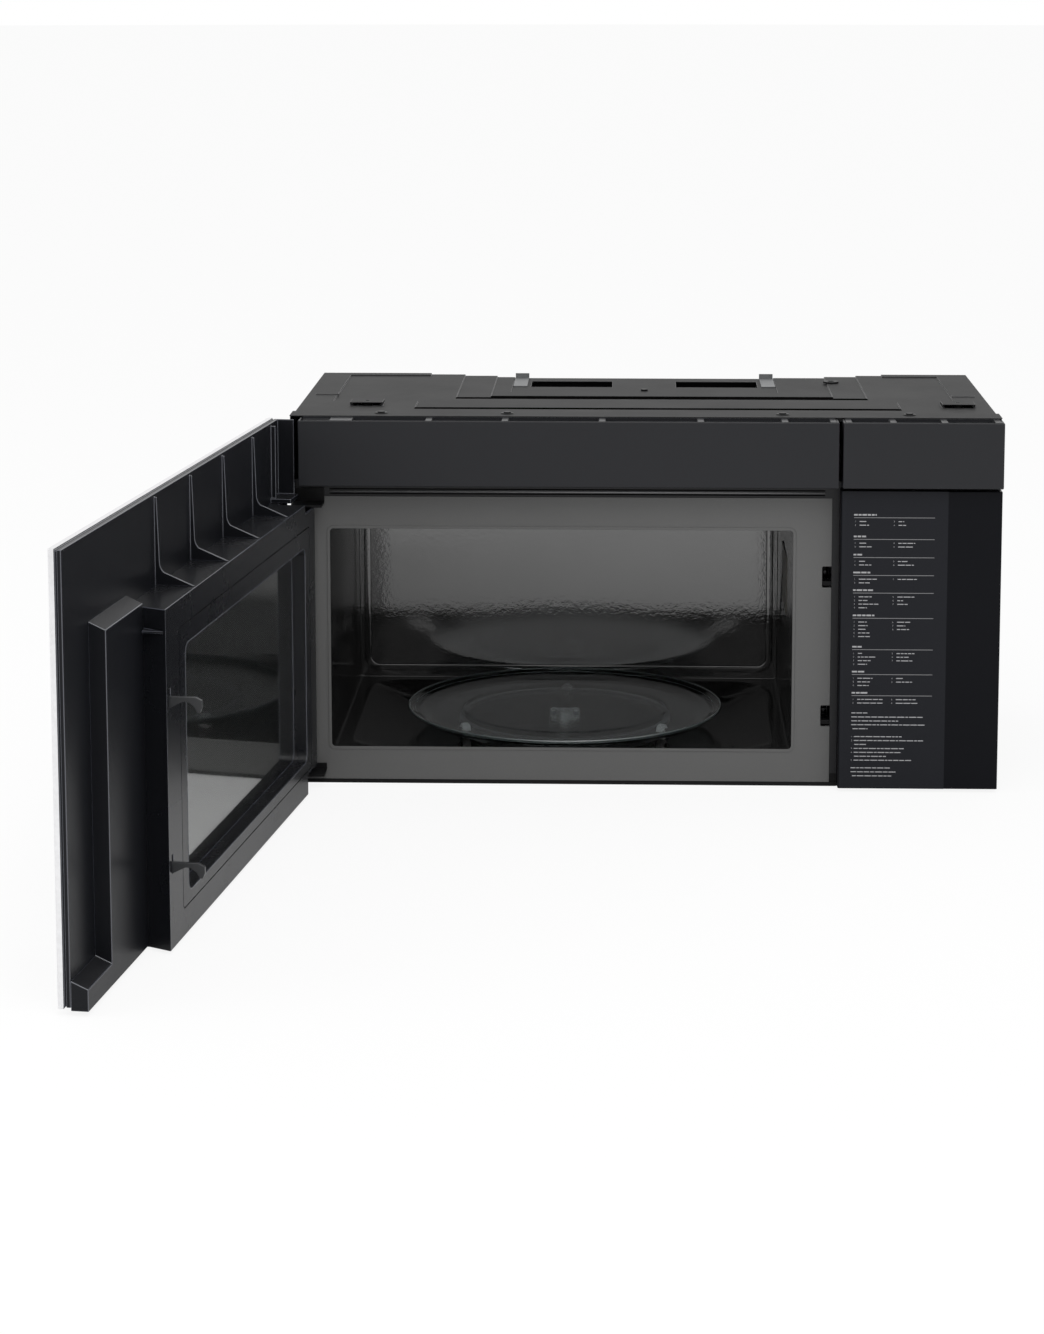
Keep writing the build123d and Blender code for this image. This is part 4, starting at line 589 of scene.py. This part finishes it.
def inner_finishes():
    """What the works inside the casing are made of."""
    board, mica, iron = (0.012, 0.085, 0.03), (0.10, 0.095, 0.08), (0.045, 0.045, 0.048)
    aluminium, foam, spring = (0.62, 0.63, 0.64), (0.012, 0.012, 0.012), (0.32, 0.32, 0.33)
    return {
        "board": coated("circuit_board", board, 0.35, grain=900, depth=0.00003, tone=0.15),
        "mica": coated("mica_sheet", mica, 0.45, grain=300, depth=0.00006, tone=0.15, smear=0.2),
        "core": coated("core_iron", iron, 0.5, grain=700, depth=0.0001, tone=0.2, smear=0.2, metallic=0.4),
        "fins": coated("fin_aluminium", aluminium, 0.35, grain=900, depth=0.00003, tone=0.06, metallic=1.0),
        "filter": filter_mesh(),
        "foam": coated("filter_foam", foam, 0.9, grain=260, depth=0.001, tone=0.3, smear=0.05),
        "spring": coated("spring_steel", spring, 0.3, grain=900, tone=0.1, metallic=1.0),
    }


# The solids that carry each finish
SOLIDS_IN = {
    "wrap": ("outer_wrap", "base_pan", "blower_plate"),
    "galvanised": ("rear_panel", "inner_deck", "waveguide"),
    "bracket": ("outlet_brackets",),
    "zinc": ("turntable_motor", "blower_motor"),
    "skin": ("door_skin",),
    "plate": ("front_plate",),
    "cavity": ("cavity_shell",),
    "screen": ("door_mesh",),
    "band": ("vent_band_left", "vent_band_right", "vent_comb"),
    "gap": ("gap_strip",),
    "guide": ("guide_panel",),
    "label": ("guide_label",),
    "cover": ("door_cover", "control_cover"),
    "choke": ("choke_cover",),
    "black": (
        "hinge_upper", "hinge_lower", "fan_housing", "latch_board", "interlock_switches", "blower_housing",
        "blower_rotor", "top_screws", "cord_bushing", "door_frame",
    ),
    "lever": ("latch_lever", "fan_wheel", "plunger_upper", "plunger_lower", "plunger_monitor"),
    "trim": ("roller_ring",),
    "white": ("turntable_coupler", "roller_1", "roller_2", "roller_3"),
    "natural": ("hinge_bushes",),
    "tray": ("glass_tray",),
    "glass": ("door_inner_glass", "lamp_bulbs"),
    "window": ("door_window",),
    "touch": ("touch_panel",),
    "lens": ("lamp_cover_left", "lamp_cover_right"),
    "filter": ("grease_filter_left", "grease_filter_right"),
    "foam": ("charcoal_filter",),
    "mica": ("waveguide_cover",),
    "fins": ("magnetron", "hv_capacitor"),
    "core": ("hv_transformer",),
    "board": ("power_board", "display_board"),
    "spring": ("latch_spring",),
}
FINISH_OF = {node: finish for finish, nodes in SOLIDS_IN.items() for node in nodes}
FINISHES = {}


# Making pieces


def give(thing, finish):
    """Lay one finish on the whole of a piece."""
    thing.data.materials.clear()
    thing.data.materials.append(FINISHES[finish])


def settle(thing, body, finish):
    """Finish a new piece: its surface and the body that it rides on."""
    give(thing, finish)
    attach(thing, body)


def made(form, name):
    """The object of a finished form."""
    mesh = bpy.data.meshes.new(name)
    form.to_mesh(mesh)
    form.free()
    thing = bpy.data.objects.new(name, mesh)
    bpy.context.scene.collection.objects.link(thing)
    return thing


def breadth(line):
    """How far the narrower of an edge's two faces reaches from it."""
    start = line.verts[0].co
    along = (line.verts[1].co - start).normalized()
    reaches = [[(point.co - start).cross(along).length for point in face.verts] for face in line.link_faces]
    return min(max(reach) for reach in reaches)


SHARP = math.radians(40)  # an edge that turns by more than this is rounded
FLAT = math.radians(0.6)  # faces that turn by less than this are one flat face
ROOM = 2.05  # how many edge radii wide both faces of a rounded edge have to be


def whole_faced(node):
    """A solid's form, with its doubled points merged and its flat faces whole."""
    form = bmesh.new()
    form.from_mesh(NODES[node].data)
    bmesh.ops.remove_doubles(form, verts=form.verts, dist=1e-6)
    bmesh.ops.dissolve_limit(form, angle_limit=FLAT, verts=form.verts, edges=form.edges)
    return form


def dressed(node, edge, rim=None, crease=32):
    """A copy of a solid with rounded edges, in the solid's place; the rounded faces may take a lighter finish of
    their own, a painted highlight.
    """
    form = whole_faced(node)
    for face in form.faces:
        face.smooth = True
    weight = form.edges.layers.float.new("bevel_weight_edge")
    for line in form.edges:
        turn = line.calc_face_angle(0) if line.is_manifold else 0
        line.smooth = turn < math.radians(crease)
        line[weight] = float(turn > SHARP and breadth(line) > ROOM * edge)
    thing = made(form, f"{node}_form")
    bevel = thing.modifiers.new("rounded_edges", "BEVEL")
    bevel.width = edge
    bevel.segments = 2
    bevel.limit_method = "WEIGHT"
    bevel.harden_normals = True
    bevel.use_clamp_overlap = False
    settle(thing, BODY_OF[node], FINISH_OF[node])
    # rim names a lighter finish for the rounded faces only: a painted highlight.
    if rim:
        thing.data.materials.append(FINISHES[rim])
        bevel.material = 1
    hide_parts(node)
    return thing


def closed_box(node):
    """Lowest and highest corner of a door piece, with the door shut."""
    shut = SWING.inverted()
    spots = [shut @ point.co for point in NODES[node].data.vertices]
    return Vector([*map(min, *spots)]), Vector([*map(max, *spots)])


def box(form, middle, size):
    """A box about its middle. Returns its points."""
    place = Matrix.Translation(middle) @ Matrix.Diagonal((*size, 1))
    return bmesh.ops.create_cube(form, size=1, matrix=place)["verts"]


def disc(form, middle, axis, radii, depth, segments):
    """A round pin or a tapered disc about its middle, along the X or the Y axis."""
    turn = Matrix.Rotation(math.radians(90), 4, {"X": "Y", "Y": "X"}[axis])
    bmesh.ops.create_cone(
        form, cap_ends=True, segments=segments, radius1=radii[0], radius2=radii[1], depth=depth,
        matrix=Matrix.Translation(middle) @ turn,
    )


INK_DEPTH = 0.00004  # how far a print stands off its face
CAPITAL = 0.7  # height of a numeral, as a share of the font's size


def bar(form, x, z, y):
    """A printed bar on an upright face that looks along -Y."""
    middle = ((x[0] + x[1]) / 2, y - INK_DEPTH / 2, (z[0] + z[1]) / 2)
    box(form, middle, (x[1] - x[0], INK_DEPTH, z[1] - z[0]))


def figure(form, text, x, z, y, height, align="LEFT"):
    """A printed numeral or short word on an upright face that looks along -Y, standing on x and z."""
    curve = bpy.data.curves.new("figure", "FONT")
    curve.body = text
    curve.size = height / CAPITAL
    curve.resolution_u = 2
    curve.align_x = align
    upright = Matrix.Rotation(math.radians(90), 4, "X")
    add_curve(form, curve, Matrix.Translation((x, y - INK_DEPTH, z)) @ upright)


def add_curve(form, curve, place=None):
    """Add a text or a curve to a form as a mesh."""
    thing = bpy.data.objects.new(curve.name, curve)
    bpy.context.scene.collection.objects.link(thing)
    shape = bpy.data.meshes.new_from_object(thing.evaluated_get(bpy.context.evaluated_depsgraph_get()))
    bpy.data.objects.remove(thing)
    bpy.data.curves.remove(curve)
    if place:
        shape.transform(place)
    form.from_mesh(shape)
    bpy.data.meshes.remove(shape)


def round_frame(x, z, y, corner, steps=6):
    """Points of a rectangle with round corners, in an upright plane."""
    points = []
    for number, (side_x, side_z) in enumerate(((1, 1), (-1, 1), (-1, -1), (1, -1))):
        middle_x = (x[1] - corner) if side_x > 0 else (x[0] + corner)
        middle_z = (z[1] - corner) if side_z > 0 else (z[0] + corner)
        for step in range(steps + 1):
            turn = math.radians(90) * (number + step / steps)
            points.append((middle_x + corner * math.cos(turn), y, middle_z + corner * math.sin(turn)))
    return points


def tube(form, points, radius):
    """A round bead along a closed line of points."""
    curve = bpy.data.curves.new("tube", "CURVE")
    curve.dimensions = "3D"
    line = curve.splines.new("POLY")
    line.points.add(len(points) - 1)
    for spot, place in zip(line.points, points):
        spot.co = (*place, 1)
    line.use_cyclic_u = True
    curve.bevel_depth = radius
    curve.bevel_resolution = 2
    add_curve(form, curve)


def turned(form, profile, middle, steps):
    """A solid of revolution about a Z line through middle, from radius and height pairs."""
    spots = [form.verts.new(middle + Vector((radius, 0, height))) for radius, height in profile]
    lines = [form.edges.new(pair) for pair in zip(spots, spots[1:])]
    bmesh.ops.spin(
        form, geom=spots + lines, cent=middle, axis=(0, 0, 1), angle=math.tau, steps=steps, use_merge=True
    )


def rounded(form):
    """Merge doubled points, turn the faces outward and shade them smooth."""
    bmesh.ops.remove_doubles(form, verts=form.verts, dist=1e-7)
    bmesh.ops.recalc_face_normals(form, faces=form.faces)
    for face in form.faces:
        face.smooth = True


# Pieces


class MICROWAVE_OT_finishes(bpy.types.Operator):
    """Make every finish and lay it on the solids."""

    bl_idname = "microwave.finishes"
    bl_label = "Finishes"

    def execute(self, context):
        make_orange_peel()
        make_flecks()
        make_brushed_lines()
        make_handling()
        make_settled_dust()
        make_round_holes()
        make_spangle()
        paint = colours()
        FINISHES.update(sheet_finishes(paint))
        FINISHES.update(plastic_finishes(paint))
        FINISHES.update(print_finishes(paint))
        FINISHES.update(glass_finishes())
        FINISHES.update(inner_finishes())
        for node, thing in NODES.items():
            give(thing, FINISH_OF[node])
        return {"FINISHED"}


class MICROWAVE_OT_mouldings(bpy.types.Operator):
    """Round the edges of the mouldings of the door, the vent bands and the guide panel."""

    bl_idname = "microwave.mouldings"
    bl_label = "Mouldings"

    def execute(self, context):
        size = sizes()
        for node in ("door_cover", "control_cover", "choke_cover"):
            # Their rounded edges take the lighter cover_edge plastic, a painted highlight.
            dressed(node, size.cover_edge, "cover_edge")
        for node in ("vent_band_left", "vent_band_right"):
            dressed(node, size.moulded_edge)
        for node in ("guide_panel", "vent_comb", "latch_lever", "latch_board"):
            dressed(node, size.fine_edge)
        return {"FINISHED"}


class MICROWAVE_OT_sheets(bpy.types.Operator):
    """Round the folded and pressed edges of the sheet metal."""

    bl_idname = "microwave.sheets"
    bl_label = "Sheet metal"

    def execute(self, context):
        edge = sizes().sheet_edge
        for node in ("front_plate", "door_skin", "hinge_upper", "hinge_lower"):
            dressed(node, edge)
        for node in ("outer_wrap", "blower_plate"):
            # The rounded edges of the wrap and the blower plate take a lighter paint, a painted highlight.
            dressed(node, edge, "wrap_highlight")
        dressed("cavity_shell", 2 * edge, crease=13)
        return {"FINISHED"}


# Front edges of the top's nested steps, the highest first: left end, right end and place
PRESS_LINES = (
    (-0.251, 0.279, -0.285),
    (-0.211, 0.249, -0.194),
    (-0.173, 0.212, -0.172),
)
PRESS_DROP = 0.004  # from the front flange to the main face
NEST_DROP = 0.0015  # from one step to the next
# Pan head screws along the front flange
SCREW_ROW = -0.358
SCREW_SPOTS = (-0.282, -0.147, 0.147, 0.282)


class MICROWAVE_OT_top_detail(bpy.types.Operator):
    """Lay dark strips of painted shade in front of the top's press lines, and lay a dark washer and a domed head
    at each screw.
    """

    bl_idname = "microwave.top_detail"
    bl_label = "Top detail"

    def execute(self, context):
        size = sizes()
        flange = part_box("outer_wrap")[1].z
        shade_depth = 0.00006
        # Thin near-black strips just behind each step's front edge: painted shade of the risers.
        lines = bmesh.new()
        for step, (x_low, x_high, front) in enumerate(PRESS_LINES):
            level = flange - PRESS_DROP - NEST_DROP * step
            middle = ((x_low + x_high) / 2, front - size.press_line / 2, level)
            box(lines, middle, (x_high - x_low, size.press_line, shade_depth))
        settle(made(lines, "press_line_shade"), "cabinet", "shade")
        washers = bmesh.new()
        heads = bmesh.new()
        reach, rise = size.screw_radius, size.screw_height
        wide, high, fall = 1.7 * reach, 0.0008, 0.0004
        washer = ((0, high), (wide - fall, high), (wide, fall), (wide, -0.0001))
        dome = [(reach * math.sin(turn), rise * math.cos(turn)) for turn in (0, 0.5, 0.9, 1.25, math.pi / 2)]
        for x in SCREW_SPOTS:
            spot = Vector((x, SCREW_ROW, flange))
            turned(washers, washer, spot, 32)
            turned(heads, dome, spot, 24)
        rounded(heads)
        rounded(washers)
        settle(made(washers, "screw_washers"), "cabinet", "black")
        settle(made(heads, "screw_heads"), "cabinet", "trim")
        return {"FINISHED"}


# The recess in the door's inner frame, with the door shut
RECESS_ENDS = (-0.331, 0.142)
RECESS_BOTTOM = -0.1622
RECESS_DROP = 0.045  # from the frame's top to the recess
RECESS_DEPTH = 0.0145
RECESS_CORNER = 0.010


class MICROWAVE_OT_recess_beads(bpy.types.Operator):
    """Lay fine pale beads, painted highlights, round the mouth and the floor of the recess in the door's inner
    frame.
    """

    bl_idname = "microwave.recess_beads"
    bl_label = "Recess beads"

    def execute(self, context):
        high = closed_box("choke_cover")[1]
        radius = sizes().recess_bead
        inset = 0.0005
        x = RECESS_ENDS
        z = (RECESS_BOTTOM, high.z - RECESS_DROP)
        form = bmesh.new()
        tube(form, round_frame(x, z, high.y - radius * 0.6, RECESS_CORNER), radius)
        inner_x = (x[0] + inset, x[1] - inset)
        inner_z = (z[0] + inset, z[1] - inset)
        floor = high.y - RECESS_DEPTH
        tube(form, round_frame(inner_x, inner_z, floor, RECESS_CORNER - inset), radius * 0.8)
        bmesh.ops.transform(form, matrix=SWING, verts=form.verts)
        rounded(form)
        # The beads take the lighter cover_edge plastic: painted highlights.
        settle(made(form, "recess_beads"), "door", "cover_edge")
        return {"FINISHED"}


class MICROWAVE_OT_gap_bead(bpy.types.Operator):
    """Make a pale bead, a painted highlight, and two lines of painted shade, along the gap between the vent band
    and the front plate.
    """

    bl_idname = "microwave.gap_bead"
    bl_label = "Gap bead"

    def execute(self, context):
        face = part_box("gap_strip")[0].y
        ends = (-0.337, 0.1925)
        level = 0.1188
        radius = sizes().bead_radius
        shade_half = 0.0007
        bead = bmesh.new()
        disc(bead, (sum(ends) / 2, face, level), "X", (radius, radius), ends[1] - ends[0], 16)
        rounded(bead)
        settle(made(bead, "gap_bead"), "cabinet", "bead")
        shade = bmesh.new()
        for side in (-1, 1):
            z = level + side * 2.3 * radius
            bar(shade, ends, (z - shade_half, z + shade_half), face)
        settle(made(shade, "gap_shade"), "cabinet", "shade")
        return {"FINISHED"}


class MICROWAVE_OT_tray_rim(bpy.types.Operator):
    """Make the tray's rolled rim and a line inside it, opaque and pale: painted highlights of the glass's rim."""

    bl_idname = "microwave.tray_rim"
    bl_label = "Tray rim"

    def execute(self, context):
        low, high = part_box("glass_tray")
        middle = (low + high) / 2
        reach = (high.x - low.x) / 2
        radius = sizes().rim_radius
        form = bmesh.new()
        clear = 0.0002  # keeps the rim inside the tray's own outline
        inner_inset, inner_drop = 0.008, 0.0038
        rings = (
            (reach - radius - clear, high.z - radius - clear / 2, radius),
            (reach - inner_inset, high.z - inner_drop, radius / 2),
        )
        for ring, level, thick in rings:
            turns = [math.tau * step / 10 for step in range(11)]
            section = [(ring + thick * math.cos(turn), thick * math.sin(turn)) for turn in turns]
            turned(form, section, Vector((middle.x, middle.y, level)), 96)
        rounded(form)
        settle(made(form, "tray_rim"), BODY_OF["glass_tray"], "rim")
        return {"FINISHED"}


class MICROWAVE_OT_rear_detail(bpy.types.Operator):
    """Press ribs into the rear panel and set flat screws round its edge."""

    bl_idname = "microwave.rear_detail"
    bl_label = "Rear detail"

    rib_shares = (0.12, 0.31, 0.5, 0.69, 0.88)  # of the panel's width
    rib_width = 0.016
    rib_corner = 0.0075
    rib_margins = (0.075, 0.045)  # below and above the ribs
    screw_margin = 0.012
    top_screw_margin = 0.010
    side_screw_levels = (-0.09, 0.03, 0.12)

    def execute(self, context):
        low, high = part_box("rear_panel")
        relief = sizes().relief
        panel = dressed("rear_panel", sizes().sheet_edge / 2)
        # The sheet's back moves in, so that the ribs and screws stay inside the solid's outline
        for point in panel.data.vertices:
            if point.co.y > high.y - 1e-5:
                point.co.y -= relief
        self.ribs(low, high, relief)
        self.screws(low, high, relief)
        return {"FINISHED"}

    def ribs(self, low, high, relief):
        form = bmesh.new()
        ends = (low.z + self.rib_margins[0], high.z - self.rib_margins[1])
        for share in self.rib_shares:
            middle = (low.x + share * (high.x - low.x), high.y - relief / 2 - 0.00005, sum(ends) / 2)
            points = box(form, middle, (self.rib_width, relief, ends[1] - ends[0]))
            lines = dict.fromkeys(line for point in points for line in point.link_edges)
            through = [line for line in lines if abs((line.verts[0].co - line.verts[1].co).y) > 1e-6]
            bmesh.ops.bevel(
                form, geom=through, offset=self.rib_corner, segments=8, profile=0.5,
                affect="EDGES", material=-1,
            )
        settle(made(form, "rear_ribs"), "cabinet", "galvanised")

    def screws(self, low, high, relief):
        form = bmesh.new()
        margin = self.screw_margin
        across = [low.x + margin + step * (high.x - low.x - 2 * margin) / 4 for step in range(5)]
        places = [(x, z) for x in across for z in (low.z + margin, high.z - self.top_screw_margin)]
        places += [(x, z) for x in (across[0], across[-1]) for z in self.side_screw_levels]
        radius = sizes().screw_radius
        for x, z in places:
            middle = (x, high.y - relief / 2 - 0.00002, z)
            disc(form, middle, "Y", (0.8 * radius, radius), relief, 20)
        settle(made(form, "rear_screws"), "cabinet", "zinc")


# Rules of the guide label: how far each lies below the label's top, the width of its heading, and
# the widths of the entries under it in the left and the right column, in millimetres
LABEL_LISTS = (
    (28.2, 24, (7, 10), (6, 8)),
    (51.5, 13, (8, 13), (18, 16)),
    (71.1, 9, (8, 13), (10, 17)),
    (90.4, 18, (19, 12), (21,)),
    (109.5, 22, (14, 11, 22, 9), (19, 6, 11)),
    (136.8, 23, (9, 10, 9, 12, 13), (14, 9, 13)),
    (170.9, 10, (6, 20, 14, 10), (19, 13, 17)),
    (198.0, 13, (16, 15, 12), (7, 17)),
    (221.1, 18, (27, 27), (21, 23)),
)
# Lines of its closing notes: drop, start and width
LABEL_NOTES = (
    (240.0, 0.0, 17), (244.4, 0.0, 76), (248.7, 0.0, 50), (252.9, 0.0, 79), (257.3, 1.5, 16),
    (265.9, 3.0, 51), (270.2, 3.0, 75), (274.5, 3.5, 14), (278.9, 3.0, 55), (283.2, 3.0, 50),
    (287.5, 3.5, 34), (291.8, 3.0, 63),
    (300.2, 0.0, 42), (304.6, 0.0, 48), (309.0, 1.5, 42),
)
NUMBERED_NOTES = (5, 6, 8, 9, 11)  # lines of the notes that start with a numeral


class MICROWAVE_OT_label_print(bpy.types.Operator):
    """Print the guide label: rules, numerals, and plain bars where the lines of words stand."""

    bl_idname = "microwave.label_print"
    bl_label = "Guide label print"

    # Millimetres on the label
    margin = 12.4
    second_column = 54.5
    rule_length = 85.5
    heading_rise = 3.1
    heading_height = 1.7
    first_row = 4.1
    row_pitch = 3.95
    entry_start = 5.0
    entry_height = 0.9
    note_height = 0.95
    numeral_drop = 0.75
    word_gap = 0.9
    word_lengths = (2.6, 8.0)

    def line(self, form, x_low, x_high, drop, height):
        x = [self.left + value / 1000 for value in (x_low, x_high)]
        z = [self.top - (drop + side * height / 2) / 1000 for side in (1, -1)]
        bar(form, x, z, self.face)

    def words(self, form, x, drop, width, height):
        """A line of plain bars, as long as words."""
        spot = x
        while spot < x + width - 1.0:
            end = min(spot + self.chance.uniform(*self.word_lengths), x + width)
            self.line(form, spot, end, drop, height)
            spot = end + self.word_gap

    def numeral(self, form, number, x, drop):
        base = self.top - (drop + self.numeral_drop) / 1000
        figure(form, str(number), self.left + x / 1000, base, self.face, sizes().numeral_height)

    def program_list(self, rules, inks, drop, heading, columns):
        """One rule, the heading above it and the numbered entries below it."""
        self.line(rules, self.margin, self.margin + self.rule_length, drop, sizes().rule_height * 1000)
        self.words(inks, self.margin, drop - self.heading_rise, heading, self.heading_height)
        count = 1
        for start, widths in zip((self.margin + 1.0, self.second_column), columns):
            for row, width in enumerate(widths):
                below = drop + self.first_row + self.row_pitch * row
                self.numeral(inks, count, start, below)
                self.words(inks, start + self.entry_start, below, width, self.entry_height)
                count += 1

    def execute(self, context):
        low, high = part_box("guide_label")
        self.left, self.top, self.face = low.x, high.z, low.y
        self.chance = random.Random(4)
        rules = bmesh.new()
        inks = bmesh.new()
        for drop, heading, *columns in LABEL_LISTS:
            self.program_list(rules, inks, drop, heading, columns)
        for drop, start, width in LABEL_NOTES:
            self.words(inks, self.margin + start, drop, width, self.note_height)
        for count, row in enumerate(NUMBERED_NOTES, start=1):
            self.numeral(inks, count, self.margin, LABEL_NOTES[row][0])
        settle(made(rules, "label_rules"), "cabinet", "rule")
        settle(made(inks, "label_print"), "cabinet", "ink")
        return {"FINISHED"}


class MICROWAVE_OT_touch_print(bpy.types.Operator):
    """Print the touch panel: a clock in pale paint that stands in for a lit display, numerals, ON and OFF, and
    plain bars where words stand.
    """

    bl_idname = "microwave.touch_print"
    bl_label = "Touch panel print"

    # Places below the panel's top, and sizes
    clock_drop = 0.052
    rule_drops = (0.072, 0.152, 0.300)
    rule_margin = 0.014
    rule_half = 0.0003
    word_drop = 0.088
    word_pitch = 0.0165
    word_half = 0.0011
    word_reach = 0.0085
    word_step = 0.002
    numeral_drop = 0.182
    numeral_pitch = 0.030
    switch_drop = 0.318
    column_shares = (0.24, 0.5, 0.76)

    def execute(self, context):
        low, high = closed_box("touch_panel")
        face, top = low.y, high.z
        key = sizes().key_height
        columns = [low.x + share * (high.x - low.x) for share in self.column_shares]
        clock = bmesh.new()
        figure(clock, "12:00", columns[1], top - self.clock_drop, face, 2.2 * key, "CENTER")
        keys = bmesh.new()
        ends = (low.x + self.rule_margin, high.x - self.rule_margin)
        for drop in self.rule_drops:
            bar(keys, ends, (top - drop - self.rule_half, top - drop + self.rule_half), face)
        for row in range(4):
            level = top - self.word_drop - self.word_pitch * row
            for place, column in enumerate(columns):
                reach = self.word_reach + self.word_step * ((row + place) % 3)
                height = (level - self.word_half, level + self.word_half)
                bar(keys, (column - reach, column + reach), height, face)
        for count, text in enumerate("1234567890"):
            row, place = (3, 1) if text == "0" else divmod(count, 3)
            level = top - self.numeral_drop - self.numeral_pitch * row
            figure(keys, text, columns[place], level, face, key, "CENTER")
        for text, place in (("OFF", 0), ("ON", 2)):
            figure(keys, text, columns[place], top - self.switch_drop, face, 0.75 * key, "CENTER")
        for form, name, finish in ((clock, "clock_painted_glow", "glow"), (keys, "key_print", "ink")):
            bmesh.ops.transform(form, matrix=SWING, verts=form.verts)
            settle(made(form, name), BODY_OF["touch_panel"], finish)
        return {"FINISHED"}


class MICROWAVE_OT_stage(bpy.types.Operator):
    """Make the camera, the soft lights, the sky and the floor."""

    bl_idname = "microwave.stage"
    bl_label = "Stage"

    def execute(self, context):
        scene = context.scene
        stage = scene.microwave_stage
        scene.view_settings.view_transform = "Standard"
        self.camera(scene)
        self.lights(scene, stage)
        self.sky(scene, stage)
        self.floor(stage)
        return {"FINISHED"}

    def camera(self, scene):
        data = bpy.data.cameras.new("camera")
        data.lens = 84.33
        data.shift_x = -0.02
        data.shift_y = -0.2
        data.clip_start = 0.05
        data.clip_end = 200
        camera = bpy.data.objects.new("camera", data)
        scene.collection.objects.link(camera)
        camera.location = (-0.0101, -3.662, 0.6815)
        camera.rotation_euler = (math.radians(90 - 8.017), 0, math.radians(1.605))
        scene.camera = camera

    def lights(self, scene, stage):
        places = [
            ("key", (0.4, -2.6, 3.2), (0, -0.3, 0), 3.0, stage.key_power),
            ("side", (-3.4, -1.8, 1.6), (-0.1, -0.3, 0), 2.4, stage.side_power),
        ]
        for name, spot, aim, size, power in places:
            data = bpy.data.lights.new(name, "AREA")
            data.shape = "DISK"
            data.size = size
            data.energy = power
            lamp = bpy.data.objects.new(name, data)
            scene.collection.objects.link(lamp)
            lamp.location = spot
            lamp.rotation_mode = "QUATERNION"
            lamp.rotation_quaternion = (Vector(aim) - Vector(spot)).to_track_quat("-Z", "Y")

    def sky(self, scene, stage):
        world = bpy.data.worlds.new("sky")
        world.use_nodes = True
        scene.world = world
        tree = world.node_tree
        tree.nodes.clear()
        rays = put(tree, "LightPath")
        seen = maths(tree, "MAXIMUM", rays.outputs["Is Camera Ray"], rays.outputs["Is Glossy Ray"])
        seen = maths(tree, "MAXIMUM", seen, rays.outputs["Is Transmission Ray"])
        power = put(tree, "MapRange", {"Value": seen, "To Min": stage.sky, "To Max": 1.0})
        light = put(tree, "Background", {"Color": (1, 1, 1, 1), "Strength": power.outputs[0]})
        put(tree, "OutputWorld", {"Surface": light.outputs[0]})

    def floor(self, stage):
        radius, gap, lit_share = 40, 0.0005, 0.88
        form = bmesh.new()
        bmesh.ops.create_circle(form, cap_ends=True, radius=radius, segments=96)
        bmesh.ops.translate(form, verts=form.verts, vec=(0, 0, CAD_BOX[0].z - gap))
        thing = made(form, "floor")
        material, tree, place = blank("floor_paint")
        grain = use(tree, "orange_peel", place, Scale=40.0)
        shader = tree.nodes["Principled BSDF"]
        feed(tree, shader.inputs["Base Color"], toned(tree, stage.floor, 0.01, grain["Tone"]))
        feed(tree, shader.inputs["Roughness"], 0.9)
        feed(tree, shader.inputs["Specular IOR Level"], 0.0)
        rays = put(tree, "LightPath")
        glow = put(tree, "Emission", {"Color": (1, 1, 1, 1), "Strength": 1.0})
        share = maths(tree, "MULTIPLY", rays.outputs["Is Camera Ray"], lit_share)
        both = put(tree, "MixShader", {0: share, 1: shader.outputs[0], 2: glow.outputs[0]})
        tree.links.new(both.outputs[0], tree.nodes["Material Output"].inputs["Surface"])
        thing.data.materials.append(material)


class MICROWAVE_PT_panel(bpy.types.Panel):
    """Lists the microwave's sizes, colours and pieces."""

    bl_idname = "MICROWAVE_PT_panel"
    bl_label = "Microwave"
    bl_space_type = "VIEW_3D"
    bl_region_type = "UI"
    bl_category = "Microwave"

    def draw(self, context):
        for group_name in GROUPS:
            group = getattr(context.scene, group_name)
            section = self.layout.box()
            for name in group.bl_rna.properties.keys():
                if name not in ("rna_type", "name"):
                    section.prop(group, name)
        for piece in OPERATORS:
            self.layout.operator(piece.bl_idname)


GROUPS = {
    "microwave_sizes": MICROWAVE_PG_sizes,
    "microwave_colours": MICROWAVE_PG_colours,
    "microwave_stage": MICROWAVE_PG_stage,
}
OPERATORS = (
    MICROWAVE_OT_finishes,
    MICROWAVE_OT_sheets,
    MICROWAVE_OT_mouldings,
    MICROWAVE_OT_top_detail,
    MICROWAVE_OT_recess_beads,
    MICROWAVE_OT_gap_bead,
    MICROWAVE_OT_tray_rim,
    MICROWAVE_OT_rear_detail,
    MICROWAVE_OT_label_print,
    MICROWAVE_OT_touch_print,
    MICROWAVE_OT_stage,
)
CLASSES = (*GROUPS.values(), *OPERATORS, MICROWAVE_PT_panel)


def register():
    for kind in CLASSES:
        bpy.utils.register_class(kind)
    for name, group in GROUPS.items():
        setattr(bpy.types.Scene, name, PointerProperty(type=group))


def unregister():
    for name in GROUPS:
        delattr(bpy.types.Scene, name)
    for kind in reversed(CLASSES):
        bpy.utils.unregister_class(kind)


def main():
    register()
    for piece in OPERATORS:
        group, name = piece.bl_idname.split(".")
        getattr(getattr(bpy.ops, group), name)()


if __name__ == "__main__":
    main()
